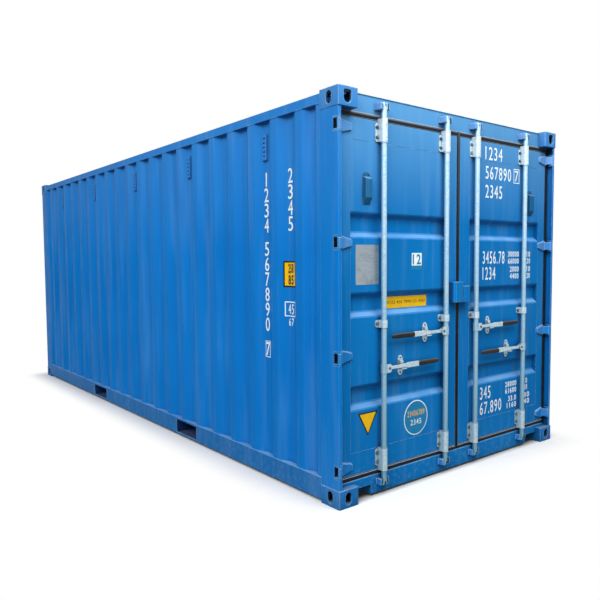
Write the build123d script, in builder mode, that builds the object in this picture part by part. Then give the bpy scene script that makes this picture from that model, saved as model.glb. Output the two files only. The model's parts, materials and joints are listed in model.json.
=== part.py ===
from build123d import *
from math import floor
import os

# Twenty-foot dry freight container with two hinged end doors.
# X runs across the width, Y along the length with the doors at the negative end, Z up.
# The origin lies at ground level under the middle of the box. All sizes are in millimetres.

os.makedirs("parts", exist_ok=True)

# Overall size
length = 6058
width = 2438
height = 2591

# Corner castings
casting_x = 162
casting_y = 178
casting_z = 118
casting_plate = 28
casting_wall = 16
casting_back = 12
casting_edge = 6
aperture_length = 124.5
aperture_width = 63.5
aperture_from_end = 101.5
aperture_from_side = 89
end_hole_from_side = 76
hole_height = 79.5
side_hole_width = 51
top_end_hole_width = 63.5
shield_corner = 14

# Frame members
frame_inset = 3
post_plate = 6
post_strip = 25
post_bend = 8
post_channel_width = 41
post_channel_wall = 12
post_channel_gap = 0.5
top_rail = 60
top_rail_wall = 3
top_rail_drop = 18
bottom_rail_bottom = 17
bottom_rail_top = 162
bottom_rail_wall = 4.5
bottom_rail_top_flange = 48
bottom_rail_bottom_flange = 34
front_post_lip = 34

# Pressed sheets
sheet = 2
bend = 12
wall_inset = 5
wall_depth = 36
wall_pitch = 278
wall_outer_flat = 72
wall_inner_flat = 70
wall_end_strip = 35
wall_end_slope = 50
front_wall_inset = 6
front_wall_depth = 45.6
front_wall_pitch = 250
front_wall_inner_flat = 104
front_wall_slope = 18
roof_gap = 6
roof_depth = 20
roof_pitch = 209
roof_crest = 91
roof_slope = 24.75
roof_side_margin = 60
roof_end_margin = 30

# Underframe and floor
floor_top = 175
floor_thickness = 28
floor_edge_gap = 1
member_wall = 4
member_flange = 45
pocket_spacing = 2050
pocket_width = 360
pocket_bottom = 32
pocket_wall = 4
pocket_roof = 3
strap_length = 200
strap_thickness = 6
member_bays = 5

# Door opening
header_inset = 64
header_lip_drop = 21
header_lip_inset = 114
header_wall = 4
header_top_plate = 4
sill_inset = 48
sill_bottom = 16
sill_top = 138
sill_step_inset = 118
sill_wall = 4.5
notch_width = 157
notch_top = 80
notch_lining = 9

# Door leaves
leaf_inset = 60
leaf_thickness = 50
leaf_side_gap = 60
leaf_foot_gap = 34
leaf_head_gap = 41
leaf_meeting_gap = 19
outer_stile = 89
inner_stile = 118
leaf_top_rail = 134
leaf_bottom_rail = 141
stile_wall = 4
recess_height = 155
recess_slope = 32
recess_depth = 36
low_recess_rise = 494
middle_recess_rise = 1090
high_recess_drop = 49
gasket_lip = 7
gasket_body_depth = 45
gasket_body_reach = 18
gasket_meeting_gap = 4
gasket_side_reach = 14
seal_gap = 0.3

# Hinges
pin_side_inset = 18
pin_rear_inset = 15
pin_radius = 6
pin_clearance = 0.4
barrel_radius = 12
barrel_height = 62
lug_thickness = 14
lug_gap = 0.5
lug_reach = 52
lug_width = 32
blade_thickness = 12
blade_root = 56
blade_height = 88
blade_tip_height = 46
blade_tip_inset = 162
blade_neck = 14
blade_tip_corner = 14
blade_draft = 28
blade_overlap = 8
low_hinge_rise = 60
high_hinge_drop = 64
hinge_count = 4

# Locking gear
inner_rod_position = 176
outer_rod_inset = 352
rod_radius = 17
rod_inset = 22
rod_clearance = 0.4
rod_head = 74
rod_foot = 71
cam_height = 50
cam_reach = 23
cam_ear = 18
cam_notch_width = 12
cam_notch_mouth = 20
cam_notch_depth = 26
cam_heel = 12
sleeve_wall = 6
bracket_half_width = 46
bracket_plate = 6
bracket_corner = 10
top_bracket_drops = (129, 12)
top_sleeve_drop = 129
top_sleeve_rise = 15
bottom_bracket_rises = (18, 133)
bottom_sleeve_drop = 10
bottom_sleeve_rise = 140
middle_bracket_rise = 936
middle_bracket_height = 49
thrust_collar = 8
thrust_collar_wall = 5
thrust_collar_gap = 1
keeper_gap = 7.5
keeper_prong = 10
keeper_flare = 6
keeper_corner = 6
keeper_height = 42
keeper_front = 8
keeper_plate = 4
keeper_plate_margin = 8

# Handles
handle_rises = (870, 666)
handle_directions = (-1, 1)
handle_pivot = 40
handle_eye = 15
handle_thickness = 14
handle_inset = 15
handle_bar_height = 30
handle_bar_thickness = 10
handle_end_gap = 76
socket_height = 36
socket_thickness = 14
socket_gap = 12
grip_length = 235
grip_height = 36
grip_thickness = 20
grip_corner = 12
grip_chamfer = 6
fork_cheek = 6
fork_gap = 1
fork_height = 60
fork_eye = 16
hub_wall = 4
hub_height = 60

# Handle catches
catch_shift = 10
catch_width = 46
catch_height = 137
catch_seat_gap = 1
catch_seat = 7
catch_seat_front = 12
catch_ear_radius = 18
catch_ear_hole = 7
catch_flap_rise = 22
catch_flap_height = 44
catch_flap_width = 30
catch_flap_front = 36

# Hoods and boxes
door_vent_inset = 229
door_vent_gap = 52.5
door_vent_height = 205
door_vent_width = 56
door_vent_depth = 26
door_vent_flange = 8
door_vent_ear = 30
door_vent_bevel = 44
door_vent_brow = 14
side_vent_drop = 83
side_vent_height = 185
side_vent_margin = 1
side_vent_depth = 18
side_vent_slots = 5
side_vent_taper = 18
side_vent_every = 4
slot_height = 8
lock_box_reach = 93
lock_box_rise = 1066
lock_box_heights = (147, 116)
lock_box_front = 6
lock_box_wall = 5
lock_box_corner = 14

# Values worked out from the sizes above
half_width = width / 2
half_length = length / 2
bay = half_length - casting_y
span = half_width - casting_x
castings_top = height - casting_z
rail_top = height - top_rail_drop
roof_top = height - roof_gap
roof_base = roof_top - roof_depth
floor_bottom = floor_top - floor_thickness
hinge_notch = barrel_height + 2 * (lug_thickness + lug_gap)
channel_rear = leaf_inset + gasket_lip + post_channel_gap
channel_side = frame_inset + post_plate
web_inset = channel_side + post_channel_width

header_bottom = castings_top
leaf_outer = half_width - leaf_side_gap
leaf_back = leaf_inset + leaf_thickness
leaf_bottom = sill_top + leaf_foot_gap
leaf_top = header_bottom - leaf_head_gap
panel_bottom = leaf_bottom + leaf_bottom_rail
panel_top = leaf_top - leaf_top_rail
low_recess = leaf_bottom + low_recess_rise
middle_recess = leaf_bottom + middle_recess_rise
upper_field_bottom = middle_recess + recess_height / 2
high_recess = (upper_field_bottom + panel_top) / 2 - high_recess_drop
recess_levels = (low_recess, middle_recess, high_recess)

low_hinge = leaf_bottom + low_hinge_rise
high_hinge = leaf_top - high_hinge_drop
hinge_pitch = (high_hinge - low_hinge) / (hinge_count - 1)
hinge_levels = [low_hinge + step * hinge_pitch for step in range(hinge_count)]

rod_positions = (inner_rod_position, leaf_outer - outer_rod_inset)
rod_spacing = rod_positions[1] - rod_positions[0]
rod_bottom = sill_top - rod_foot
rod_top = header_bottom + rod_head
top_bracket = [leaf_top - drop for drop in top_bracket_drops]
top_sleeve = (leaf_top - top_sleeve_drop, leaf_top + top_sleeve_rise)
bottom_bracket = [leaf_bottom + rise for rise in bottom_bracket_rises]
bottom_sleeve = (leaf_bottom - bottom_sleeve_drop, leaf_bottom + bottom_sleeve_rise)
middle_bracket_bottom = leaf_bottom + middle_bracket_rise
middle_bracket = (middle_bracket_bottom, middle_bracket_bottom + middle_bracket_height)
handle_levels = [leaf_bottom + rise for rise in handle_rises]
handle_end = rod_spacing - handle_end_gap
handle_bar_end = handle_end - grip_length
catch_offset = (handle_pivot + handle_bar_end) / 2 + catch_shift


def left(inset):
    """X of the plane that lies this far inside the left side."""
    return inset - half_width


def rear(inset):
    """Y of the plane that lies this far inside the door end."""
    return inset - half_length


def front(inset):
    """Y of the plane that lies this far inside the closed end."""
    return half_length - inset


def patch(a0, a1, b0, b1, mode=Mode.ADD):
    """A rectangle between limits in the sketch being drawn."""
    with Locations(((a0 + a1) / 2, (b0 + b1) / 2)):
        return Rectangle(abs(a1 - a0), abs(b1 - b0), mode=mode)


def bar(x0, x1, y0, y1, z0, z1, mode=Mode.ADD):
    """A straight bar between limits in the part being built."""
    with BuildSketch(Plane.XY.offset(z0)) as base:
        patch(x0, x1, y0, y1)
    return extrude(base.sketch, amount=z1 - z0, mode=mode)


def sheet_section(points, thickness, side):
    """The section of a folded sheet, with its points on one face, in the sketch being drawn."""
    with BuildLine() as fold:
        Polyline(*points)
        offset(amount=thickness, side=side, kind=Kind.INTERSECTION)
    return make_face(fold.edges())


def eased(points):
    """The fold points of a pressed sheet, with each bend eased to one short flat."""
    corners = [Vector(*point) for point in points]
    result = [corners[0]]
    for before, corner, after in zip(corners, corners[1:], corners[2:]):
        result.append(corner + (before - corner).normalized() * bend / 2)
        result.append(corner + (after - corner).normalized() * bend / 2)
    return result + [corners[-1]]


def round_corner(section, x, y, radius):
    """Rounds the corner of the sketch that lies nearest to a point."""
    fillet(section.vertices().sort_by_distance(Vector(x, y, 0))[0], radius)


def cut_corner(section, x, y, length):
    """Cuts off the corner of the sketch that lies nearest to a point."""
    chamfer(section.vertices().sort_by_distance(Vector(x, y, 0))[0], length)


def save(shape, name):
    shape.label = name
    export_step(shape, f"parts/{name}.step")


def save_pair(shape, name):
    """Writes a piece of the left side and its mirror image on the right side."""
    save(shape, f"left_{name}")
    save(mirror(shape, about=Plane.YZ), f"right_{name}")


# Corner castings: hollow blocks with a long aperture above or below and a hole in both outer sides

def corner_castings(base, opens_up, end_hole_width, shield):
    hole_level = base + casting_z / 2
    cavity_base = base + (casting_wall if opens_up else casting_plate)
    cavity_height = casting_z - casting_plate - casting_wall
    aperture_base = base + casting_z - casting_plate if opens_up else base
    with BuildPart() as castings:
        with BuildSketch(Plane.XY.offset(base)) as outline:
            with Locations((left(casting_x / 2), rear(casting_y / 2))):
                RectangleRounded(casting_x, casting_y, casting_edge)
        extrude(amount=casting_z)
        with BuildSketch(Plane.XY.offset(cavity_base)) as cavity:
            patch(left(casting_wall), left(casting_x - casting_back),
                  rear(casting_wall), rear(casting_y - casting_back))
        extrude(amount=cavity_height, mode=Mode.SUBTRACT)
        with BuildSketch(Plane.XY.offset(aperture_base)) as aperture:
            with Locations((left(aperture_from_side), rear(aperture_from_end))):
                SlotOverall(aperture_length, aperture_width, rotation=90)
        extrude(amount=casting_plate, mode=Mode.SUBTRACT)
        end_face = Plane((left(end_hole_from_side), rear(0), hole_level),
                         x_dir=(1, 0, 0), z_dir=(0, -1, 0))
        with BuildSketch(end_face) as end_hole:
            if shield:
                round_centre = (end_hole_width - hole_height) / 2
                patch(-end_hole_width / 2, end_hole_width / 2, round_centre, hole_height / 2)
                fillet(end_hole.vertices().group_by(Axis.Y)[-1], shield_corner)
                with Locations((0, round_centre)):
                    Circle(end_hole_width / 2)
            else:
                SlotOverall(hole_height, end_hole_width, rotation=90)
        extrude(amount=-casting_wall, mode=Mode.SUBTRACT)
        side_face = Plane((left(0), rear(casting_y / 2), hole_level),
                          x_dir=(0, -1, 0), z_dir=(-1, 0, 0))
        with BuildSketch(side_face) as side_hole:
            SlotOverall(hole_height, side_hole_width, rotation=90)
        extrude(amount=-casting_wall, mode=Mode.SUBTRACT)
        mirror(about=Plane.YZ)
        mirror(about=Plane.XZ)
    return castings.part


save(corner_castings(castings_top, True, top_end_hole_width, True), "top_castings")
save(corner_castings(0, False, side_hole_width, False), "bottom_castings")


# Rear posts: a pressed outer plate, notched at the hinges, welded to a rolled channel

with BuildPart() as rear_post:
    with BuildSketch(Plane.XY.offset(casting_z)) as section:
        patch(left(frame_inset), left(channel_side), rear(post_plate), rear(casting_y))
        patch(left(frame_inset), left(frame_inset + post_strip), rear(post_plate), rear(2 * post_plate))
        round_corner(section, left(frame_inset), rear(post_plate), post_bend)
        patch(left(channel_side), left(web_inset), rear(channel_rear), rear(casting_y))
        round_corner(section, left(web_inset), rear(channel_rear), post_bend)
        patch(left(channel_side), left(web_inset - post_channel_wall),
              rear(channel_rear + post_channel_wall), rear(casting_y - post_channel_wall),
              mode=Mode.SUBTRACT)
    extrude(amount=castings_top - casting_z)
    for level in hinge_levels:
        bar(left(0), left(channel_side + post_strip), rear(0), rear(lug_reach),
            level - hinge_notch / 2, level + hinge_notch / 2, mode=Mode.SUBTRACT)
save_pair(rear_post.part, "rear_post")


# Hinge lugs: two plates and the pin at each notch of the rear posts

with BuildPart() as lugs:
    for level in hinge_levels:
        with BuildSketch(Plane.XY.offset(level - hinge_notch / 2)) as lug:
            with Locations((left(pin_side_inset), rear(pin_rear_inset))):
                Circle(barrel_radius)
            patch(left(frame_inset), left(lug_width), rear(pin_rear_inset), rear(lug_reach))
        extrude(amount=hinge_notch)
        bar(left(0), left(channel_side + post_strip), rear(0), rear(lug_reach),
            level - barrel_height / 2 - lug_gap, level + barrel_height / 2 + lug_gap,
            mode=Mode.SUBTRACT)
        with BuildSketch(Plane.XY.offset(level - hinge_notch / 2)) as pin:
            with Locations((left(pin_side_inset), rear(pin_rear_inset))):
                Circle(pin_radius)
        extrude(amount=hinge_notch)
    mirror(about=Plane.YZ)
save(lugs.part, "hinge_lugs")


# Front posts: one heavy plate folded round the corner, with a lip along both walls

with BuildPart() as front_posts:
    side_lip = frame_inset + front_post_lip
    with BuildSketch(Plane.XY.offset(casting_z)) as section:
        patch(left(frame_inset), left(casting_x), front(frame_inset), front(casting_y))
        patch(left(channel_side), left(casting_x), front(channel_side), front(casting_y),
              mode=Mode.SUBTRACT)
        patch(left(frame_inset), left(side_lip), front(casting_y - post_plate), front(casting_y))
        patch(left(casting_x - post_plate), left(casting_x), front(frame_inset), front(side_lip))
        round_corner(section, left(frame_inset), front(frame_inset), post_bend)
    extrude(amount=castings_top - casting_z)
    mirror(about=Plane.YZ)
save(front_posts.part, "front_posts")


# Top side rails: square tubes between the castings

with BuildPart() as top_rails:
    with BuildSketch(Plane.XZ.offset(bay)) as section:
        patch(left(frame_inset), left(frame_inset + top_rail), rail_top - top_rail, rail_top)
        patch(left(frame_inset + top_rail_wall), left(frame_inset + top_rail - top_rail_wall),
              rail_top - top_rail + top_rail_wall, rail_top - top_rail_wall, mode=Mode.SUBTRACT)
    extrude(amount=-2 * bay)
    mirror(about=Plane.YZ)
save(top_rails.part, "top_side_rails")


# Bottom side rails: channels that open inwards, cut through at the fork pockets

with BuildPart() as bottom_rails:
    inner_top = frame_inset + bottom_rail_top_flange
    inner_bottom = frame_inset + bottom_rail_bottom_flange
    with BuildSketch(Plane.XZ.offset(bay)) as section:
        patch(left(frame_inset), left(frame_inset + bottom_rail_wall),
              bottom_rail_bottom, bottom_rail_top)
        patch(left(frame_inset), left(inner_top), bottom_rail_top - bottom_rail_wall, bottom_rail_top)
        patch(left(frame_inset), left(inner_bottom),
              bottom_rail_bottom, bottom_rail_bottom + bottom_rail_wall)
        round_corner(section, left(frame_inset), bottom_rail_top, bottom_rail_wall)
        round_corner(section, left(frame_inset), bottom_rail_bottom, bottom_rail_wall)
    extrude(amount=-2 * bay)
    for centre in (-pocket_spacing / 2, pocket_spacing / 2):
        bar(left(0), left(inner_bottom), centre - pocket_width / 2,
            centre + pocket_width / 2, pocket_bottom, floor_bottom - pocket_roof, mode=Mode.SUBTRACT)
    mirror(about=Plane.YZ)
save(bottom_rails.part, "bottom_side_rails")


# Side walls: upright corrugations pressed into one sheet

wall_face = left(wall_inset)
wall_floor = left(wall_inset + wall_depth)


def trough(centre, outer_half, inner_half):
    """Four fold points of one upright trough, in order along the wall."""
    return [(wall_face, centre - outer_half), (wall_floor, centre - inner_half),
            (wall_floor, centre + inner_half), (wall_face, centre + outer_half)]


trough_half = wall_pitch / 2 - wall_outer_flat / 2
trough_steps = floor((bay - wall_end_strip - trough_half) / wall_pitch)
last_edge = trough_steps * wall_pitch + trough_half
end_trough_half = (bay - last_edge - wall_outer_flat - wall_end_strip) / 2
end_trough_centre = last_edge + wall_outer_flat + end_trough_half

wall_points = [(wall_face, -bay)]
if end_trough_half > wall_end_slope:
    wall_points += trough(-end_trough_centre, end_trough_half, end_trough_half - wall_end_slope)
for step in range(-trough_steps, trough_steps + 1):
    wall_points += trough(step * wall_pitch, trough_half, wall_inner_flat / 2)
if end_trough_half > wall_end_slope:
    wall_points += trough(end_trough_centre, end_trough_half, end_trough_half - wall_end_slope)
wall_points += [(wall_face, bay)]

with BuildPart() as side_wall:
    with BuildSketch(Plane.XY.offset(bottom_rail_top)) as section:
        sheet_section(eased(wall_points), sheet, Side.RIGHT)
    extrude(amount=rail_top - top_rail - bottom_rail_top)
save_pair(side_wall.part, "side_wall")


# Front wall: deeper corrugations between the front posts

front_troughs = floor((2 * span - front_wall_slope) / front_wall_pitch)
front_half = front_wall_inner_flat / 2 + front_wall_slope
front_face = front(front_wall_inset)
front_floor = front(front_wall_inset + front_wall_depth)
front_points = [(-span, front_face)]
for step in range(front_troughs):
    centre = (step - (front_troughs - 1) / 2) * front_wall_pitch
    front_points += [(centre - front_half, front_face),
                     (centre - front_wall_inner_flat / 2, front_floor),
                     (centre + front_wall_inner_flat / 2, front_floor),
                     (centre + front_half, front_face)]
front_points += [(span, front_face)]

with BuildPart() as front_wall:
    with BuildSketch(Plane.XY.offset(bottom_rail_top)) as section:
        sheet_section(eased(front_points), sheet, Side.RIGHT)
    extrude(amount=rail_top - top_rail - bottom_rail_top)
save(front_wall.part, "front_wall")


# Front rails: a square tube above the wall and a folded channel below it

with BuildPart() as front_top_rail:
    with BuildSketch(Plane.YZ.offset(-span)) as section:
        patch(front(frame_inset), front(frame_inset + top_rail), rail_top - top_rail, rail_top)
        patch(front(frame_inset + top_rail_wall), front(frame_inset + top_rail - top_rail_wall),
              rail_top - top_rail + top_rail_wall, rail_top - top_rail_wall, mode=Mode.SUBTRACT)
    extrude(amount=2 * span)
save(front_top_rail.part, "front_top_rail")

with BuildPart() as front_bottom_rail:
    with BuildSketch(Plane.YZ.offset(-span)) as section:
        sheet_section([(front(frame_inset + bottom_rail_bottom_flange), bottom_rail_bottom),
                       (front(frame_inset), bottom_rail_bottom),
                       (front(frame_inset), bottom_rail_top),
                       (front(front_wall_inset + front_wall_depth + sheet), bottom_rail_top)],
                      bottom_rail_wall, Side.LEFT)
    extrude(amount=2 * span)
save(front_bottom_rail.part, "front_bottom_rail")


# Roof: a flat sheet let in between the rails, stamped with closed cross ribs

rail_inside = half_width - frame_inset - top_rail
rib_count = floor((2 * bay - 2 * roof_end_margin) / roof_pitch)
rib_base = roof_crest + 2 * roof_slope
rib_length = 2 * (rail_inside - roof_side_margin)
rib_top_length = rib_length - 2 * roof_slope
rib_thinning = 0.7

with BuildPart() as roof_panel:
    with BuildSketch(Plane.XY.offset(roof_base - sheet)) as outline:
        patch(-rail_inside, rail_inside, rear(casting_y), front(casting_y))
        patch(-span, span, front(casting_y), front(frame_inset + top_rail))
    extrude(amount=sheet)
    for offset_down, thinning, mode in ((0, 0, Mode.ADD), (sheet, rib_thinning, Mode.SUBTRACT)):
        level = roof_base - offset_down
        with BuildSketch(Plane.XY.offset(level)) as feet:
            with GridLocations(1, roof_pitch, 1, rib_count):
                Rectangle(rib_length - 2 * thinning, rib_base - 2 * thinning)
        with BuildSketch(Plane.XY.offset(level + roof_depth)) as crests:
            with GridLocations(1, roof_pitch, 1, rib_count):
                Rectangle(rib_top_length - 2 * thinning, roof_crest - 2 * thinning)
        for foot, crest in zip(feet.sketch.faces().sort_by(Axis.Y), crests.sketch.faces().sort_by(Axis.Y)):
            loft([foot, crest], mode=mode)
save(roof_panel.part, "roof_panel")


# Floor and cross members

with BuildPart() as floor_panel:
    edge = frame_inset + bottom_rail_top_flange + floor_edge_gap
    bar(left(edge), -left(edge), rear(casting_y),
        front(front_wall_inset + front_wall_depth + sheet + floor_edge_gap), floor_bottom, floor_top)
save(floor_panel.part, "floor")

pocket_edge = pocket_spacing / 2 + pocket_width / 2 + pocket_wall
pocket_inner_edge = pocket_spacing / 2 - pocket_width / 2 - pocket_wall
end_bay_step = (bay - pocket_edge) / member_bays
middle_step = 2 * pocket_inner_edge / member_bays
member_places = [pocket_edge + step * end_bay_step for step in range(member_bays)]
member_places = [-place - member_flange for place in member_places] + member_places
member_places += [-pocket_inner_edge + step * middle_step - member_flange / 2
                  for step in range(1, member_bays)]
member_base = bottom_rail_bottom + bottom_rail_wall
web_face = half_width - frame_inset - bottom_rail_wall

with BuildPart() as cross_members:
    with BuildSketch(Plane.YZ.offset(-web_face)) as section:
        for place in member_places:
            patch(place, place + member_flange, member_base, floor_bottom)
            patch(place + member_wall, place + member_flange,
                  member_base + member_wall, floor_bottom - member_wall, mode=Mode.SUBTRACT)
    extrude(amount=2 * web_face)
save(cross_members.part, "cross_members")

with BuildPart() as fork_pockets:
    for centre in (-pocket_spacing / 2, pocket_spacing / 2):
        with BuildSketch(Plane.YZ.offset(-web_face)) as section:
            patch(centre - pocket_width / 2 - pocket_wall, centre + pocket_width / 2 + pocket_wall,
                  member_base, floor_bottom)
            patch(centre - pocket_width / 2, centre + pocket_width / 2,
                  member_base, floor_bottom - pocket_roof, mode=Mode.SUBTRACT)
        extrude(amount=2 * web_face)
        for x0, x1 in ((-web_face, strap_length - web_face), (web_face - strap_length, web_face)):
            bar(x0, x1, centre - pocket_width / 2 - pocket_wall, centre + pocket_width / 2 + pocket_wall,
                member_base, member_base + strap_thickness)
save(fork_pockets.part, "fork_pockets")


# Door header and sill, fitted between the castings and over or under them to the posts

web_x = half_width - web_inset

def clear_of_castings(z0, z1):
    """Cuts away what would lie inside the rear castings."""
    for side in (-1, 1):
        bar(side * span, side * half_width, rear(0), rear(casting_y), z0, z1, mode=Mode.SUBTRACT)


with BuildPart() as door_header:
    lip_bottom = header_bottom - header_lip_drop
    with BuildSketch(Plane.YZ.offset(-web_x)) as section:
        patch(rear(header_inset), rear(casting_y), header_bottom, roof_top)
        patch(rear(header_inset + header_wall), rear(casting_y - header_wall),
              header_bottom + header_wall, roof_top - header_wall, mode=Mode.SUBTRACT)
        patch(rear(header_lip_inset), rear(casting_y), lip_bottom, header_bottom)
        patch(rear(header_lip_inset + header_wall), rear(casting_y - header_wall),
              lip_bottom + header_wall, header_bottom, mode=Mode.SUBTRACT)
        patch(rear(header_inset - header_top_plate), rear(header_inset),
              roof_top - header_top_plate, roof_top)
    extrude(amount=2 * web_x)
    clear_of_castings(castings_top, height)
save(door_header.part, "door_header")

with BuildPart() as door_sill:
    with BuildSketch(Plane.YZ.offset(-web_x)) as section:
        sheet_section([(rear(sill_inset + bottom_rail_bottom_flange), sill_bottom),
                       (rear(sill_inset), sill_bottom), (rear(sill_inset), sill_top),
                       (rear(sill_step_inset), sill_top), (rear(sill_step_inset), floor_top),
                       (rear(casting_y), floor_top), (rear(casting_y), sill_bottom)],
                      sill_wall, Side.RIGHT)
    extrude(amount=2 * web_x)
    clear_of_castings(0, casting_z)
    for side in (-1, 1):
        bar(side * span, side * (span - notch_width), rear(0), rear(casting_y),
            0, notch_top, mode=Mode.SUBTRACT)
        bar(side * span, side * (span - notch_width - notch_lining), rear(sill_inset),
            rear(casting_y), notch_top, notch_top + notch_lining)
        bar(side * (span - notch_width), side * (span - notch_width - notch_lining),
            rear(sill_inset), rear(casting_y), sill_bottom, notch_top + notch_lining)
save(door_sill.part, "door_sill")


# Keepers: saddles on the header and the sill that take the cams of the lock rods

def keepers(level, face_inset):
    reach = cam_reach + keeper_gap
    tip = reach + keeper_prong
    plate_half = tip + keeper_plate_margin
    plate_front = face_inset - keeper_plate
    for place in rod_positions:
        for x in (-place, place):
            with BuildSketch(Plane.XY.offset(level - keeper_height / 2)) as saddle:
                patch(x - plate_half, x + plate_half, rear(plate_front), rear(face_inset))
                for side in (-1, 1):
                    with BuildLine():
                        Polyline((x + side * reach, rear(keeper_front)),
                                 (x + side * (tip - keeper_corner), rear(keeper_front)),
                                 (x + side * tip, rear(keeper_front + keeper_corner)),
                                 (x + side * (tip + keeper_flare), rear(plate_front)),
                                 (x + side * reach, rear(plate_front)), close=True)
                    make_face()
            extrude(saddle.sketch, amount=keeper_height)


with BuildPart() as cam_keepers:
    keepers(rod_top - cam_height / 2, header_inset)
    keepers(rod_bottom + cam_height / 2, sill_inset)
save(cam_keepers.part, "cam_keepers")


# Side wall vents: small hoods in the troughs below the top rail

side_vent_width = wall_inner_flat - bend - 2 * side_vent_margin
vent_reach = floor(trough_steps / side_vent_every)
vent_places = [(step * side_vent_every * wall_pitch, 0) for step in range(-vent_reach, vent_reach + 1)]

with BuildPart() as side_vents:
    vent_level = rail_top - top_rail - side_vent_drop - side_vent_height / 2
    vent_plane = Plane((wall_floor, 0, vent_level), x_dir=(0, -1, 0), z_dir=(-1, 0, 0))
    with BuildSketch(vent_plane) as hoods:
        with Locations(*vent_places):
            Rectangle(side_vent_width, side_vent_height)
    extrude(amount=side_vent_depth, taper=side_vent_taper)
    slot_step = side_vent_height / (side_vent_slots + 1)
    with BuildSketch(vent_plane.offset(side_vent_depth / 2)) as slots:
        with Locations(*vent_places):
            with GridLocations(1, slot_step, 1, side_vent_slots):
                Rectangle(side_vent_width / 2, slot_height)
    extrude(amount=side_vent_depth, mode=Mode.SUBTRACT)
    mirror(about=Plane.YZ)
save(side_vents.part, "side_vents")


# Door leaf: a welded frame of tubes with a pressed panel between them

stile_outer_edge = leaf_outer - outer_stile
stile_inner_edge = leaf_meeting_gap + inner_stile

with BuildPart() as door_frame:
    with BuildSketch(Plane.XZ.offset(-rear(leaf_inset))) as outline:
        patch(-leaf_outer, -leaf_meeting_gap, leaf_bottom, leaf_top)
        patch(-stile_outer_edge, -stile_inner_edge, panel_bottom, panel_top, mode=Mode.SUBTRACT)
    extrude(amount=-leaf_thickness)
    with BuildSketch(Plane.XZ.offset(-rear(leaf_inset + stile_wall))) as hollows:
        patch(stile_wall - leaf_outer, -stile_outer_edge - stile_wall,
              leaf_bottom + stile_wall, leaf_top - stile_wall)
        patch(-stile_inner_edge + stile_wall, -leaf_meeting_gap - stile_wall,
              leaf_bottom + stile_wall, leaf_top - stile_wall)
    extrude(amount=2 * stile_wall - leaf_thickness, mode=Mode.SUBTRACT)
    with BuildSketch(Plane.XZ.offset(-rear(leaf_inset + stile_wall))) as channels:
        patch(-stile_outer_edge, -stile_inner_edge, leaf_bottom + stile_wall, panel_bottom - stile_wall)
        patch(-stile_outer_edge, -stile_inner_edge, panel_top + stile_wall, leaf_top - stile_wall)
    extrude(amount=stile_wall - leaf_thickness, mode=Mode.SUBTRACT)
save_pair(door_frame.part, "door_frame")

panel_points = [(rear(leaf_inset), panel_bottom)]
for level in recess_levels:
    panel_points += [(rear(leaf_inset), level - recess_height / 2),
                     (rear(leaf_inset + recess_depth), level - recess_height / 2 + recess_slope),
                     (rear(leaf_inset + recess_depth), level + recess_height / 2 - recess_slope),
                     (rear(leaf_inset), level + recess_height / 2)]
panel_points += [(rear(leaf_inset), panel_top)]

with BuildPart() as door_panel:
    with BuildSketch(Plane.YZ.offset(-stile_outer_edge)) as section:
        sheet_section(eased(panel_points), sheet, Side.RIGHT)
    extrude(amount=stile_outer_edge - stile_inner_edge)
save_pair(door_panel.part, "door_panel")


# Door gasket: a wide front lip and a body that fills the gap round the leaf

with BuildPart() as door_gasket:
    with BuildSketch(Plane.XZ.offset(-rear(leaf_inset))) as lip:
        patch(left(gasket_side_reach), -gasket_meeting_gap, sill_top + seal_gap, header_bottom - seal_gap)
        patch(-leaf_outer, -leaf_meeting_gap, leaf_bottom, leaf_top, mode=Mode.SUBTRACT)
    extrude(amount=-gasket_lip)
    with BuildSketch(Plane.XZ.offset(-rear(leaf_inset + gasket_lip))) as body:
        patch(left(web_inset + seal_gap), -leaf_meeting_gap / 2,
              leaf_bottom - gasket_body_reach, leaf_top + gasket_body_reach)
        patch(-leaf_outer, -leaf_meeting_gap, leaf_bottom, leaf_top, mode=Mode.SUBTRACT)
    extrude(amount=gasket_lip - gasket_body_depth)
save_pair(door_gasket.part, "door_gasket")


# Hinge blades: a barrel on the pin, a cranked neck and a tapered tongue with drafted edges

with BuildPart() as hinge_blades:
    for level in hinge_levels:
        with BuildSketch(Plane.XZ.offset(-rear(leaf_inset))) as tongue:
            with BuildLine():
                Polyline((left(blade_root), level - blade_height / 2),
                         (left(leaf_side_gap + blade_thickness), level - blade_height / 2),
                         (left(blade_tip_inset), level - blade_tip_height / 2),
                         (left(blade_tip_inset), level + blade_tip_height / 2),
                         (left(leaf_side_gap + blade_thickness), level + blade_height / 2),
                         (left(blade_root), level + blade_height / 2), close=True)
            make_face()
            for side in (-1, 1):
                round_corner(tongue, left(blade_tip_inset), level + side * blade_tip_height / 2,
                             blade_tip_corner)
        extrude(amount=blade_thickness, taper=blade_draft)
        with BuildSketch(Plane.XY.offset(level - barrel_height / 2)) as knuckle:
            with BuildLine():
                Line((left(pin_side_inset), rear(pin_rear_inset)),
                     (left(blade_root + blade_overlap), rear(leaf_inset - blade_thickness / 2)))
            trace(line_width=blade_neck)
            with Locations((left(pin_side_inset), rear(pin_rear_inset))):
                Circle(barrel_radius)
                Circle(pin_radius + pin_clearance, mode=Mode.SUBTRACT)
            patch(left(leaf_side_gap), left(blade_tip_inset), rear(leaf_inset), rear(leaf_back),
                  mode=Mode.SUBTRACT)
        extrude(amount=barrel_height)
save_pair(hinge_blades.part, "hinge_blades")


# Rod brackets: a bolted plate with a sleeve round the rod

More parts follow.
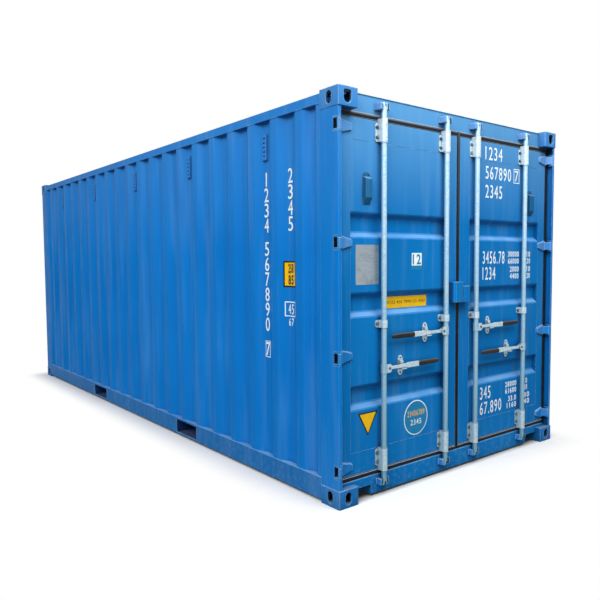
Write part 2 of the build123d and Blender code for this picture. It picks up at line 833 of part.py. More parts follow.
def bracket(place, plate_levels, sleeve_levels):
    with BuildSketch(Plane.XZ.offset(-rear(leaf_inset))) as plate:
        patch(-place - bracket_half_width, -place + bracket_half_width, *plate_levels)
        for side in (-1, 1):
            for level in plate_levels:
                cut_corner(plate, -place + side * bracket_half_width, level, bracket_corner)
    extrude(plate.sketch, amount=bracket_plate)
    with BuildSketch(Plane.XY.offset(sleeve_levels[0])) as sleeve:
        outer = rod_radius + sleeve_wall
        with Locations((-place, rear(rod_inset))):
            Circle(outer)
        patch(-place - outer, -place + outer, rear(rod_inset), rear(leaf_inset))
    extrude(sleeve.sketch, amount=sleeve_levels[1] - sleeve_levels[0])
    with BuildSketch(Plane.XY.offset(sleeve_levels[0])) as bore:
        with Locations((-place, rear(rod_inset))):
            Circle(rod_radius + rod_clearance)
    extrude(bore.sketch, amount=sleeve_levels[1] - sleeve_levels[0], mode=Mode.SUBTRACT)


with BuildPart() as rod_brackets:
    for place in rod_positions:
        bracket(place, top_bracket, top_sleeve)
        bracket(place, middle_bracket, middle_bracket)
        bracket(place, bottom_bracket, bottom_sleeve)
save_pair(rod_brackets.part, "rod_brackets")


# Handle catches: a plate with two ears, a seat under the handle and a flap behind it

ear_rise = catch_height / 2 - catch_ear_radius

for door, side in (("left", -1), ("right", 1)):
    with BuildPart() as handle_catches:
        for place, level, direction in zip(rod_positions, handle_levels, handle_directions):
            x = side * (place - direction * catch_offset)
            with BuildSketch(Plane.XZ.offset(-rear(leaf_inset))) as plate:
                patch(x - catch_width / 2, x + catch_width / 2, level - ear_rise, level + ear_rise)
                with Locations((x, level - ear_rise), (x, level + ear_rise)):
                    Circle(catch_ear_radius)
                    Circle(catch_ear_hole, mode=Mode.SUBTRACT)
            extrude(amount=bracket_plate)
            seat_top = level - handle_bar_height / 2 - catch_seat_gap
            bar(x - catch_width / 2, x + catch_width / 2, rear(catch_seat_front),
                rear(leaf_inset - bracket_plate), seat_top - catch_seat, seat_top)
            with BuildSketch(Plane.XZ.offset(-rear(catch_flap_front))) as flap:
                with BuildLine():
                    base = level + handle_bar_height / 2 - catch_flap_rise
                    Polyline((x + catch_width / 2 - catch_flap_width, base), (x + catch_width / 2, base),
                             (x - catch_width / 2 + catch_flap_width, base + catch_flap_height),
                             (x - catch_width / 2, base + catch_flap_height), close=True)
                make_face()
            extrude(amount=-(leaf_inset - bracket_plate - catch_flap_front))
    save(handle_catches.part, f"{door}_handle_catches")


# Door vents: a plate screwed to each leaf under a hood that leans back at its lower end

door_vent_x = door_vent_inset - leaf_outer
door_vent_bottom = high_recess + recess_height / 2 + door_vent_gap
door_vent_top = door_vent_bottom + door_vent_height
hood_half = door_vent_width / 2
plate_half = hood_half + door_vent_flange

with BuildPart() as door_vent:
    with BuildSketch(Plane.XZ.offset(-rear(leaf_inset))) as plate:
        patch(door_vent_x - plate_half, door_vent_x + plate_half, door_vent_bottom, door_vent_top)
        for corner in (-1, 1):
            round_corner(plate, door_vent_x + corner * plate_half, door_vent_top, door_vent_ear)
    extrude(amount=sheet)
    with BuildSketch(Plane.YZ.offset(door_vent_x - hood_half)) as hood:
        with BuildLine():
            hood_top = door_vent_top - door_vent_ear
            Polyline((rear(leaf_inset - sheet), hood_top),
                     (rear(leaf_inset - sheet - door_vent_depth), hood_top - door_vent_brow),
                     (rear(leaf_inset - sheet - door_vent_depth), door_vent_bottom + door_vent_bevel),
                     (rear(leaf_inset - sheet), door_vent_bottom), close=True)
        make_face()
    extrude(amount=door_vent_width)
save_pair(door_vent.part, "door_vent")


# Lock box: two halves, one on each leaf, round the padlock

def lock_box(height_of_half):
    bottom = leaf_bottom + lock_box_rise
    with BuildPart() as box:
        with BuildSketch(Plane.XY.offset(bottom)) as outline:
            patch(-lock_box_reach, -gasket_meeting_gap, rear(lock_box_front), rear(leaf_inset))
            cut_corner(outline, -lock_box_reach, rear(lock_box_front), lock_box_corner)
        extrude(amount=height_of_half)
        with BuildSketch(Plane.XY.offset(bottom)) as hollow:
            patch(-lock_box_reach + lock_box_wall, -gasket_meeting_gap,
                  rear(lock_box_front + lock_box_wall), rear(leaf_inset))
            cut_corner(hollow, -lock_box_reach + lock_box_wall, rear(lock_box_front + lock_box_wall),
                       lock_box_corner)
        extrude(amount=height_of_half - lock_box_wall, mode=Mode.SUBTRACT)
    return box.part


save(lock_box(lock_box_heights[0]), "left_lock_box")
save(mirror(lock_box(lock_box_heights[1]), about=Plane.YZ), "right_lock_box")


# Lock rods: a bar with a forked cam at each end, thrust collars and the fork that carries the handle

def lock_rod(place, level, direction):
    x = -place
    y = rear(rod_inset)
    with BuildPart() as rod:
        with BuildSketch(Plane.XY.offset(rod_bottom)) as section:
            with Locations((x, y)):
                Circle(rod_radius)
        extrude(amount=rod_top - rod_bottom)
        for end, inward in ((rod_bottom, 1), (rod_top, -1)):
            with BuildSketch(Plane.XZ.offset(-y - cam_ear / 2)) as horn:
                with BuildLine():
                    Polyline((x, end), (x + direction * cam_reach, end),
                             (x + direction * cam_reach, end + inward * (cam_height - cam_heel)),
                             (x + direction * rod_radius, end + inward * cam_height),
                             (x, end + inward * cam_height), close=True)
                make_face()
            extrude(amount=cam_ear)
            with BuildSketch(Plane.XZ.offset(-y - rod_radius)) as notch:
                with BuildLine():
                    Polyline((x - cam_notch_mouth / 2, end), (x + cam_notch_mouth / 2, end),
                             (x + cam_notch_width / 2, end + inward * cam_notch_depth),
                             (x - cam_notch_width / 2, end + inward * cam_notch_depth), close=True)
                make_face()
            extrude(amount=2 * rod_radius, mode=Mode.SUBTRACT)
        for base in (top_sleeve[0] - thrust_collar - thrust_collar_gap,
                     bottom_sleeve[1] + thrust_collar_gap):
            with BuildSketch(Plane.XY.offset(base)) as collar:
                with Locations((x, y)):
                    Circle(rod_radius + thrust_collar_wall)
            extrude(amount=thrust_collar)
        with BuildSketch(Plane.XY.offset(level - hub_height / 2)) as hub:
            with Locations((x, y)):
                Circle(rod_radius + hub_wall)
        extrude(amount=hub_height)
        cheek_front = handle_inset - fork_gap - fork_cheek
        cheek_back = handle_inset + handle_thickness + fork_gap
        for inset in (cheek_front, cheek_back):
            with BuildSketch(Plane.XZ.offset(-rear(inset))) as cheek:
                with BuildLine():
                    Polyline((x, level - fork_height / 2), (x, level + fork_height / 2),
                             (x + direction * handle_pivot, level + fork_eye),
                             (x + direction * handle_pivot, level - fork_eye), close=True)
                make_face()
                with Locations((x + direction * handle_pivot, level)):
                    Circle(fork_eye)
            extrude(amount=-fork_cheek)
        with BuildSketch(Plane.XZ.offset(-rear(cheek_front))) as pin:
            with Locations((x + direction * handle_pivot, level)):
                Circle(pin_radius)
        extrude(amount=-(cheek_back + fork_cheek - cheek_front))
    return rod.part


# Handles: an eye on the fork's pin, a flat bar, a socket and a thick grip

def handle(place, level, direction):
    x = -place + direction * handle_pivot
    grip_end = -place + direction * handle_end
    bar_end = -place + direction * handle_bar_end
    socket_end = -place + direction * (catch_offset + catch_width / 2 + socket_gap)
    middle = handle_inset + handle_thickness / 2
    with BuildPart() as lever:
        with BuildSketch(Plane.XZ.offset(-rear(handle_inset))) as eye:
            with Locations((x, level)):
                Circle(handle_eye)
        extrude(amount=-handle_thickness)
        with BuildSketch(Plane.XZ.offset(-rear(middle - handle_bar_thickness / 2))) as flat:
            patch(x, bar_end, level - handle_bar_height / 2, level + handle_bar_height / 2)
        extrude(amount=-handle_bar_thickness)
        with BuildSketch(Plane.XZ.offset(-rear(middle - socket_thickness / 2))) as socket:
            patch(socket_end, bar_end, level - socket_height / 2, level + socket_height / 2)
        extrude(amount=-socket_thickness)
        with BuildSketch(Plane.XZ.offset(-rear(middle - grip_thickness / 2))) as grip:
            patch(bar_end, grip_end, level - grip_height / 2, level + grip_height / 2)
            for corner in (-1, 1):
                cut_corner(grip, grip_end, level + corner * grip_height / 2, grip_corner)
        extrude(amount=-grip_thickness)
        for face in (lever.faces().sort_by(Axis.Y)[0], lever.faces().sort_by(Axis.Y)[-1]):
            chamfer(face.edges().filter_by(Axis.X), grip_chamfer)
        with BuildSketch(Plane.XZ.offset(-rear(handle_inset))) as bore:
            with Locations((x, level)):
                Circle(pin_radius + pin_clearance)
        extrude(amount=-handle_thickness, mode=Mode.SUBTRACT)
    return lever.part


for name, place, level, direction in zip(("inner", "outer"), rod_positions,
                                         handle_levels, handle_directions):
    save_pair(lock_rod(place, level, direction), f"{name}_lock_rod")
    save_pair(handle(place, level, direction), f"{name}_handle")
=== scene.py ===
# %% [markdown]
# A freight container in Blender
#
# The steel box comes ready made from the CAD model, in metres, with the ground at zero. This lesson
# gives it what a CAD model leaves out: the finish of every surface, and the welds, bolts, seals and
# numbers that are too small to be drawn there.

# %% Load the frame
import json
import math

import bmesh
import bpy
from mathutils import Matrix, Vector


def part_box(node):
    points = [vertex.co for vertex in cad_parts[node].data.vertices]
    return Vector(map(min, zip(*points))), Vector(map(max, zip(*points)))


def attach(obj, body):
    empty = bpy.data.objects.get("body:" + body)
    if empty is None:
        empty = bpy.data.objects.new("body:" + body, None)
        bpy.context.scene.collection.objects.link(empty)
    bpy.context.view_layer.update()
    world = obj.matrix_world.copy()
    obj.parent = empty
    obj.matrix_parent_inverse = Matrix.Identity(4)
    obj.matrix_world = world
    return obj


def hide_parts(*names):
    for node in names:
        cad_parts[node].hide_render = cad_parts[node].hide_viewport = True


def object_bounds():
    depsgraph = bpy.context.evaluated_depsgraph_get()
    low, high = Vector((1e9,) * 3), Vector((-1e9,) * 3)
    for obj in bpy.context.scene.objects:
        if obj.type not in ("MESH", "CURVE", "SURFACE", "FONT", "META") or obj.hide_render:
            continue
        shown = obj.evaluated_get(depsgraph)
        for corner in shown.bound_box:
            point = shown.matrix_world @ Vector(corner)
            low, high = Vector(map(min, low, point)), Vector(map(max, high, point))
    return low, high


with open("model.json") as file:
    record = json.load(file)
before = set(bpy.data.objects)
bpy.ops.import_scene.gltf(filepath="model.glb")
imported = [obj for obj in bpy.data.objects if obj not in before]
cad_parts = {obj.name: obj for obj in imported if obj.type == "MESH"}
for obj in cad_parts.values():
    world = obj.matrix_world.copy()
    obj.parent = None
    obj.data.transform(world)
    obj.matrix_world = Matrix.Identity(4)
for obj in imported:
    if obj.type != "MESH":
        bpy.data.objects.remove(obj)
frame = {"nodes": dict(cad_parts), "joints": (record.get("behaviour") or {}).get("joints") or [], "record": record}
cad_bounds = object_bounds()
nodes = frame["nodes"]
mm = 0.001
sides = {"left": -1, "right": 1}
print(len(nodes), "nodes from", cad_bounds[0], "to", cad_bounds[1])

# %% [markdown]
# The camera stands where the photographer stood. Its place was worked out from the corners of the
# box, whose real size is known: nearly four metres off the left door corner, at eye level, with a
# lens a little wider than a normal one. Blender aims a camera along its own minus Z, so the line of
# sight is turned into a rotation, and a last small turn about that line tilts the horizon.

# %% Camera
camera_place = Vector((-3.703, -5.803, 1.543))
camera_heading = 0.667
camera_dip = 0.0628
camera_roll = -0.0075

camera_data = bpy.data.cameras.new("camera")
camera_data.lens = 36.94
camera_data.sensor_width = 36
camera = bpy.data.objects.new("camera", camera_data)
bpy.context.scene.collection.objects.link(camera)
line_of_sight = Vector((math.sin(camera_heading) * math.cos(camera_dip),
                        math.cos(camera_heading) * math.cos(camera_dip),
                        -math.sin(camera_dip)))
aim = line_of_sight.to_track_quat("-Z", "Y").to_matrix().to_4x4()
camera.matrix_world = Matrix.Translation(camera_place) @ aim @ Matrix.Rotation(camera_roll, 4, "Z")
bpy.context.scene.camera = camera
print("camera at", tuple(camera_place), "looks along", tuple(line_of_sight))

# %% [markdown]
# A material is a graph of nodes, and so is a Geometry Nodes tree, so one small function serves both:
# it adds a node with its settings, fills each input with a value or a link, and hands back the
# output asked for. Colours are picked on a screen, in sRGB, while Blender reckons in linear light.

# %% Node helper
def linear(hex_colour):
    """The linear colour of an sRGB hex value such as 1f6fbe."""
    channels = [int(hex_colour[i:i + 2], 16) / 255 for i in (0, 2, 4)]
    return [c / 12.92 if c <= 0.04045 else ((c + 0.055) / 1.055) ** 2.4 for c in channels] + [1]


def add(tree, kind, inputs=None, out=0, **settings):
    """Adds a node and returns one output. An input is a value, a hex colour or a socket to link."""
    node = tree.nodes.new(kind)
    for name, value in settings.items():
        setattr(node, name, value)
    for key, value in (inputs or {}).items():
        socket = node.inputs[key]
        if isinstance(value, bpy.types.NodeSocket):
            tree.links.new(value, socket)
        elif isinstance(value, str) and socket.type == "RGBA":
            socket.default_value = linear(value)
        else:
            socket.default_value = value
    return node.outputs[out] if len(node.outputs) else None


# The Mix node has three sets of sockets, for numbers, vectors and colours. These are the colour ones.
COLOUR_A = 6
COLOUR_B = 7
MIXED_COLOUR = 2


# %% [markdown]
# Almost every finish here is made of soft patches of some real size: dirt the size of a hand, zinc
# bloom the size of a thumb, an orange peel of a few millimetres. So one pattern, with its size written
# in millimetres, comes back through the whole lesson, once as colour, once as gloss, once as height.
# Dirt and shade are another: both gather in corners, slots and hollows, where rain, brushes and light
# don't reach, so the dark layer there is painted shade as well as dirt. Ambient occlusion measures
# just that, the share of the sky that a point can't see.

# %% Start of a material, and its patterns
def new_material(name, roughness, metallic=0.0, shine=0.5):
    """A material with its tree, its shader and the point that patterns are drawn by, in metres."""
    material = bpy.data.materials.new(name)
    material.use_nodes = True
    tree = material.node_tree
    shader = tree.nodes["Principled BSDF"]
    shader.inputs["Roughness"].default_value = roughness
    shader.inputs["Metallic"].default_value = metallic
    shader.inputs["Specular IOR Level"].default_value = shine
    point = add(tree, "ShaderNodeTexCoord", out="Object")
    return material, tree, shader, point


def patches(tree, point, size_mm, start=0.35, end=0.65, low=0.0, high=1.0, detail=3, squeeze=(1, 1, 1)):
    """Soft patches of about size_mm. Squeeze below 1 draws them out along that axis."""
    place = add(tree, "ShaderNodeMapping", {"Vector": point, "Scale": squeeze})
    spots = add(tree, "ShaderNodeTexNoise", {"Vector": place, "Scale": 1000 / size_mm, "Detail": detail})
    return add(tree, "ShaderNodeMapRange", {"Value": spots, "From Min": start, "From Max": end,
                                            "To Min": low, "To Max": high})


def looking_up(tree, start, end, most):
    """White where the surface looks up, where dust settles."""
    normal = add(tree, "ShaderNodeNewGeometry", out="Normal")
    upward = add(tree, "ShaderNodeSeparateXYZ", {"Vector": normal}, out="Z")
    return add(tree, "ShaderNodeMapRange", {"Value": upward, "From Min": start, "From Max": end,
                                            "To Max": most})


def dirt_and_painted_shade(tree, reach, most):
    """White, up to the share named, in corners and hollows up to reach deep: painted shade, and dirt."""
    open_share = add(tree, "ShaderNodeAmbientOcclusion", {"Distance": reach}, out="AO", samples=6)
    return add(tree, "ShaderNodeMapRange", {"Value": open_share, "From Min": 0.72, "From Max": 0.15,
                                            "To Max": most})


# %% [markdown]
# A finish is then built up as on the real thing, from the bare colour outwards: each layer is a
# colour and the share of the surface that it covers, and each skin is a pattern of small heights.

# %% Layers and skins of a finish
def lay_on(tree, shader, colour, layers, skins=(), normal=None):
    """Lays each layer over the colour below it, and each skin on the normal below it."""
    for share, over in layers:
        colour = add(tree, "ShaderNodeMix", {"Factor": share, COLOUR_A: colour, COLOUR_B: over},
                     out=MIXED_COLOUR, data_type="RGBA")
    tree.links.new(colour, shader.inputs["Base Color"])
    for height, depth in skins:
        below = {"Normal": normal} if normal else {}
        normal = add(tree, "ShaderNodeBump", {"Height": height, "Distance": depth, **below})
    if normal:
        tree.links.new(normal, shader.inputs["Normal"])


# %% [markdown]
# The paint is a marine topcoat, sprayed over zinc primer. To the eye that is a soft gloss, a faint
# orange peel, slow waves in the thin sheet under it, a little chalky fading in upright streaks, pale
# dust wherever a face looks up, road splash near the ground, a painted sheen that grows paler towards
# the roof, painted shade in hollows, and a lighter colour along each rolled edge, in places, which is
# a painted highlight as well as paint worn thin. The Bevel node finds those edges: it gives the normal
# that the face would have if its edges were round, and where that differs from the flat one, there is
# an edge.
#
# One recipe serves the whole box, because it was all one colour once. The door end has a stronger
# painted sheen towards the roof and deeper painted shade in its hollows, and the bottom rails are
# greyer. The castings, hinges and keepers have wider, whiter edges, a painted highlight as well as
# wear, and the castings are dark deep inside, painted shade as well as dirt. The ledges are painted
# lighter, a painted highlight, the vent hoods darker, painted shade, and the underframe is dark with
# road dirt, and in the fork pockets the dark stands for painted shade as well.

# %% Sprayed marine paint
def sprayed_paint(name, deep, pale, chalking_and_highlight, dust="9db7cb", top_sheen_from=1.0, top_sheen=0.1, shade_and_dirt_reach=90 * mm,
                  edge_radius=5 * mm):
    """Paint that turns paler from one height to the roof, a painted sheen, and darker in hollows that deep,
    painted shade as well as dirt.
    """
    material, tree, shader, point = new_material(name, 0.4, shine=0.02)
    height = add(tree, "ShaderNodeSeparateXYZ", {"Vector": point}, out="Z")
    streaks = patches(tree, point, 90, 0.5, 0.75, 0, 0.1, 4, (1, 1, 0.07))
    # Paler from one height up to the roof: a painted sheen of the sky, strongest at the door end.
    painted_top_sheen = add(tree, "ShaderNodeMapRange", {"Value": height, "From Min": top_sheen_from, "From Max": 2.56,
                                             "To Max": top_sheen})
    rounded = add(tree, "ShaderNodeBevel", {"Radius": edge_radius}, samples=4)
    flat = add(tree, "ShaderNodeNewGeometry", out="Normal")
    alike = add(tree, "ShaderNodeVectorMath", {0: rounded, 1: flat}, out="Value", operation="DOT_PRODUCT")
    edge = add(tree, "ShaderNodeMapRange", {"Value": alike, "From Min": 0.99, "From Max": 0.86})
    # Lighter along the rolled edges, in places: a painted highlight, and paint worn thin.
    edge_wear_and_highlight = add(tree, "ShaderNodeMath", {0: edge, 1: patches(tree, point, 45, low=0.3, high=0.9)},
                 operation="MULTIPLY")
    settled = add(tree, "ShaderNodeMath", {0: looking_up(tree, 0.3, 0.95, 0.4),
                                           1: patches(tree, point, 240, low=0.6)}, operation="MULTIPLY")
    near_ground = add(tree, "ShaderNodeMapRange", {"Value": height, "From Min": 0.3, "From Max": 0.02,
                                                   "To Max": 0.12})
    splash = add(tree, "ShaderNodeMath", {0: near_ground, 1: patches(tree, point, 35, 0.5, 0.75, detail=6)},
                 operation="MULTIPLY")
    waves = patches(tree, point, 330, 0, 1, detail=1)
    peel = patches(tree, point, 2.6, 0, 1, detail=1)
    # The darkest layer, in corners and hollows, is painted shade as well as dirt.
    lay_on(tree, shader, deep,
           [(patches(tree, point, 700), pale), (streaks, chalking_and_highlight), (painted_top_sheen, chalking_and_highlight), (edge_wear_and_highlight, chalking_and_highlight),
            (settled, dust), (splash, dust), (dirt_and_painted_shade(tree, shade_and_dirt_reach, 0.9), "08182c")],
           [(waves, 2.2 * mm), (peel, 0.05 * mm)], rounded)
    tree.links.new(patches(tree, point, 140, low=0.33, high=0.46), shader.inputs["Roughness"])
    return material


blue_paint = sprayed_paint("sprayed_marine_paint", "0d79ce", "137fd5", "9fc8e6", top_sheen_from=1.6, top_sheen=0.07)
# The door end: a stronger painted sheen towards the roof, and deeper painted shade in its hollows.
door_paint = sprayed_paint("faded_marine_paint", "0c76c1", "127dc8", "9fd2e8", "c2e6fa", top_sheen_from=1.8,
                           top_sheen=0.28, shade_and_dirt_reach=130 * mm)
rail_paint = sprayed_paint("scraped_rail_paint", "206fb6", "2877be", "a9c6da", "a9d4ea", top_sheen=0.0,
                           shade_and_dirt_reach=12 * mm)
# The ledges: a lighter copy of the paint, a painted highlight.
ledge_paint = sprayed_paint("sunlit_ledge_paint", "3f93dc", "5aa5e6", "d2e6f2")
# The vent hoods: a darker copy of the paint, painted shade.
hood_paint = sprayed_paint("faded_hood_paint", "125f92", "1a6a9c", "7fb0cc", top_sheen_from=1.8)
# Hinges and keepers: wider, whiter edges, a painted highlight as well as wear.
hinge_paint = sprayed_paint("worn_hinge_paint", "1b7bc8", "2a87d0", "e2f0f8", top_sheen=0.12,
                            edge_radius=7 * mm)
# Castings: wider, whiter edges, a painted highlight as well as wear, and painted shade deep inside.
casting_paint = sprayed_paint("casting_paint", "1878c4", "2081cd", "d2e6f2", top_sheen_from=2.4, top_sheen=0.08,
                              shade_and_dirt_reach=250 * mm, edge_radius=8 * mm)
# Dark with road dirt; in the fork pockets the dark stands for painted shade as well.
underframe_paint = sprayed_paint("underframe_paint", "062c62", "0a3672", "5f7f9f", "6f7a84", top_sheen=0.0)

# %% [markdown]
# The locking gear is forged and rolled steel, dipped in molten zinc. The zinc sets as crystals, the
# spangle, about a centimetre across, and then dulls to a pale blue grey with a white bloom. Towards
# the ground it is painted darker, a painted shade and a painted reflection of the blue door. It is a
# metal, so it shows its surroundings, but blurred. Voronoi cells give the crystals, and each cell has
# a gloss of its own, which is what makes zinc glitter as you walk past. The rods are painted darkest
# towards the ground, and the brackets, catches and handles are brighter. Zinc plated screws and dull
# grey bolts come from the same recipe, with crystals too fine to tell apart.

# %% Hot dip galvanising
def galvanised_steel(name, bright, dull, spangle_mm, low_shade_and_reflection):
    """Zinc painted darker towards its lower end by up to the share named: painted shade and reflection."""
    material, tree, shader, point = new_material(name, 0.4, 0.35, 0.3)
    cells = add(tree, "ShaderNodeTexVoronoi", {"Vector": point, "Scale": 1000 / spangle_mm}, out="Color")
    grey = add(tree, "ShaderNodeSeparateColor", {"Color": cells})
    bloom = patches(tree, point, 55, 0.52, 0.72, 0, 0.3, 5, (1, 1, 0.3))
    height = add(tree, "ShaderNodeSeparateXYZ", {"Vector": point}, out="Z")
    painted_low_shade_and_reflection = add(tree, "ShaderNodeMapRange", {"Value": height, "From Min": 2.1, "From Max": 0.1,
                                                 "To Max": low_shade_and_reflection})
    rounded = add(tree, "ShaderNodeBevel", {"Radius": 1.5 * mm}, samples=4)
    # Darker towards the ground: painted shade and a painted reflection of the blue door. Corners are darker still,
    # painted shade as well as dirt.
    lay_on(tree, shader, bright,
           [(grey, dull), (bloom, "e3eaed"), (painted_low_shade_and_reflection, "6b99ad"), (dirt_and_painted_shade(tree, 30 * mm, 0.95), "1d2f42")],
           [(patches(tree, point, 9, 0, 1), 0.08 * mm)], rounded)
    gloss = add(tree, "ShaderNodeMapRange", {"Value": grey, "To Min": 0.34, "To Max": 0.46})
    tree.links.new(gloss, shader.inputs["Roughness"])
    return material


zinc = galvanised_steel("hot_dip_galvanising", "c6e6f4", "a4cee6", 11, 0.95)
new_zinc = galvanised_steel("bright_galvanising", "e8f6fa", "b4d0da", 8, 0.45)
bright_zinc = galvanised_steel("zinc_plated_screw", "b4c8d4", "9db4c2", 6, 0.3)
grey_bolt = galvanised_steel("weathered_bolt", "4b5d6c", "384755", 6, 0.3)

# %% [markdown]
# The door seal is extruded rubber with carbon black in it: nearly black when new, matt, and soon
# grey with road dust, most of all where it looks up. The same recipe, browner, gives the sleeves
# that the handle grips are dipped in.

# %% Extruded rubber
def extruded_rubber(name, black, dusty, settled):
    material, tree, shader, point = new_material(name, 0.6, shine=0.15)
    lay_on(tree, shader, black,
           [(patches(tree, point, 120, 0.3, 0.7, 0.1, 0.8, 5), dusty),
            (looking_up(tree, 0.05, 0.7, 0.85), settled)],
           [(patches(tree, point, 1.6, 0, 1), 0.12 * mm)])
    return material


rubber = extruded_rubber("extruded_rubber", "0b1420", "1d2833", "bccbda")
grip_sleeve = extruded_rubber("dipped_grip_sleeve", "171515", "2f2a27", "5a5753")

# %% [markdown]
# The floor is plywood of nineteen thin plies, oiled brown. Its face shows long grain along the sheet,
# so the patches are drawn out along Y: broad ones for the heartwood bands, narrow ones for the
# fibres. Round ones are the scuffs of pallets and boots.

# %% Oiled plywood
def oiled_plywood(name, heart, sap, fibre, scuff):
    material, tree, shader, point = new_material(name, 0.5)
    bands = patches(tree, point, 130, detail=2, squeeze=(1, 0.09, 1))
    fibres = patches(tree, point, 5, 0.3, 0.7, 0, 0.6, 4, (1, 0.04, 1))
    scuffs = patches(tree, point, 260, 0.55, 0.75, 0, 0.5, 6)
    lay_on(tree, shader, sap, [(bands, heart), (fibres, fibre), (scuffs, scuff)], [(fibres, 0.3 * mm)])
    return material


plywood = oiled_plywood("oiled_plywood", "6b4427", "8a5f3a", "3d2717", "a08a72")

# %% [markdown]
# Labels are cast vinyl film, one flat ink each, so what keeps them from looking like paper is a soft
# gloss, a faint ripple where the film was pressed on by hand, and the dust that sticks to it.

# %% Vinyl film
def vinyl_film(name, ink, soiled):
    material, tree, shader, point = new_material(name, 0.35, shine=0.15)
    dirt = patches(tree, point, 38, 0.45, 0.8, 0, 0.5, 6)
    ripple = patches(tree, point, 30, 0, 1)
    lay_on(tree, shader, ink, [(dirt, soiled)], [(ripple, 0.15 * mm)])
    return material


white_film = vinyl_film("white_vinyl_film", "f4ffff", "d9eff6")
yellow_film = vinyl_film("yellow_vinyl_film", "f9c40e", "e0ad1c")
black_film = vinyl_film("black_vinyl_film", "0f1012", "2a2c2f")
teal_film = vinyl_film("teal_vinyl_film", "0b80b4", "2f8cb4")

# %% [markdown]
# The data plate is a sheet of anodised aluminium, brushed along its width and stained by the weather.

# %% Anodised aluminium
def anodised_plate(name, bright, dark, stain):
    material, tree, shader, point = new_material(name, 0.4, 0.85)
    brushing = patches(tree, point, 1.5, 0.3, 0.7, detail=2, squeeze=(0.03, 1, 1))
    stains = patches(tree, point, 60, 0.5, 0.75, 0, 0.6, 5)
    lay_on(tree, shader, dark, [(brushing, bright), (stains, stain)], [(brushing, 0.03 * mm)])
    return material


plate_metal = anodised_plate("anodised_aluminium", "a9b4bc", "8d99a3", "74828e")
print(len(bpy.data.materials), "materials")

# %% [markdown]
# Every CAD node gets the finish that its material slot in the record names, so nothing is left grey.
# Some nodes have a finish of their own, several of them lighter or darker copies of the paint that stand for light
# and shade, and the blue ones at the door end share the door paint, with its painted sheen and deeper painted
# shade.

# %% Dress the CAD nodes
bodies = frame["record"]["behaviour"]["bodies"]
slot_finish = {"blue_paint": blue_paint, "galvanised_steel": zinc, "gasket_rubber": rubber,
               "plywood": plywood}
# The fork pockets and vent hoods take darker paint, painted shade, and the hinges and keepers whiter edges, a
# painted highlight.
own_finish = {"cross_members": underframe_paint, "fork_pockets": underframe_paint,
              "bottom_side_rails": rail_paint, "cam_keepers": hinge_paint,
              "top_castings": casting_paint, "bottom_castings": casting_paint}
for side in sides:
    own_finish[f"{side}_door_vent"] = hood_paint
    own_finish[f"{side}_hinge_blades"] = hinge_paint
    own_finish[f"{side}_rod_brackets"] = new_zinc
    own_finish[f"{side}_handle_catches"] = new_zinc
door_end = bodies["left_door"] + bodies["right_door"] + ["door_header", "door_sill", "hinge_lugs"]
for part in frame["record"]["subparts"]:
    name = part["node"]
    finish = own_finish.get(name, slot_finish[part["material_slot"]])
    if finish == blue_paint and name in door_end:
        finish = door_paint
    nodes[name].data.materials.clear()
    nodes[name].data.materials.append(finish)
print(len(nodes), "nodes dressed")

# %% [markdown]
# The pieces that follow are placed by the frame itself. A door's front face, the axis of each rod
# and the levels of its fittings are read from the CAD nodes and joints, so that nothing is typed
# twice. Both doors are alike, so the right one is the left one seen in a mirror.
#
# Most pieces lie on a plane, which is an origin and two directions, across and up. The cross product
# of the two points out of the surface, so a piece can be raised off it.

# %% Places that the frame gives
upwards = Vector((0, 0, 1))
leaf_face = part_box("left_door_frame")[0].y
door_plane = (Vector((0, leaf_face, 0)), Vector((1, 0, 0)), upwards)
axis_of = {joint["child"]: Vector(joint["pos_m"]) for joint in frame["joints"]}
rod_places = {(side, name): axis_of[f"{side}_{name}_lock_rod"]
              for side in sides for name in ("inner", "outer")}
handle_low, handle_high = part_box("left_inner_handle")
handle_middle = (handle_low.y + handle_high.y) / 2
wall_low, wall_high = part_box("left_side_wall")
wall_face = -wall_low.x
print("leaf face", round(leaf_face, 4), "rods", [round(place.x, 3) for place in rod_places.values()])
print("handles", round(handle_middle, 4), "wall face", round(wall_face, 4))


def raised(plane, lift):
    """The same plane, further out of the surface."""
    origin, across, up = plane
    return origin + across.cross(up) * lift, across, up


# %% [markdown]
# Whatever way a piece is made, it ends as one plain mesh: modifiers are applied, its place is moved
# into its points, and pieces that are one thing on the real object become one object. These helpers
# do that, and one of them joins rings of points by faces, which makes seals, grips and folded film.

# %% Making and finishing meshes
def new_object(name, mesh, *materials):
    for material in materials:
        mesh.materials.append(material)
    obj = bpy.data.objects.new(name, mesh)
    bpy.context.scene.collection.objects.link(obj)
    return obj


def from_shape(name, shape, *materials):
    """The faces of a bmesh as an object."""
    mesh = bpy.data.meshes.new(name)
    shape.to_mesh(mesh)
    shape.free()
    return new_object(name, mesh, *materials)


def finish_mesh(obj, smooth=False):
    """Applies what modifiers are left, so that a piece is plain mesh with its place in its points."""
    depsgraph = bpy.context.evaluated_depsgraph_get()
    mesh = bpy.data.meshes.new_from_object(obj.evaluated_get(depsgraph))
    mesh.transform(obj.matrix_world)
    obj.modifiers.clear()
    obj.data = mesh
    obj.matrix_world = Matrix.Identity(4)
    if smooth:
        mesh.shade_smooth()
    return obj


def round_edges(obj, radius, degrees):
    """Rounds every edge that turns by more than the angle given."""
    rounding = obj.modifiers.new("rounding", "BEVEL")
    rounding.width = radius
    rounding.segments = 2
    rounding.limit_method = "ANGLE"
    rounding.angle_limit = math.radians(degrees)


def bridge(shape, rings):
    """Faces between each ring of points and the next, all turned the same way."""
    for first, second in zip(rings, rings[1:]):
        for i in range(len(first)):
            j = (i + 1) % len(first)
            shape.faces.new((first[i], first[j], second[j], second[i]))


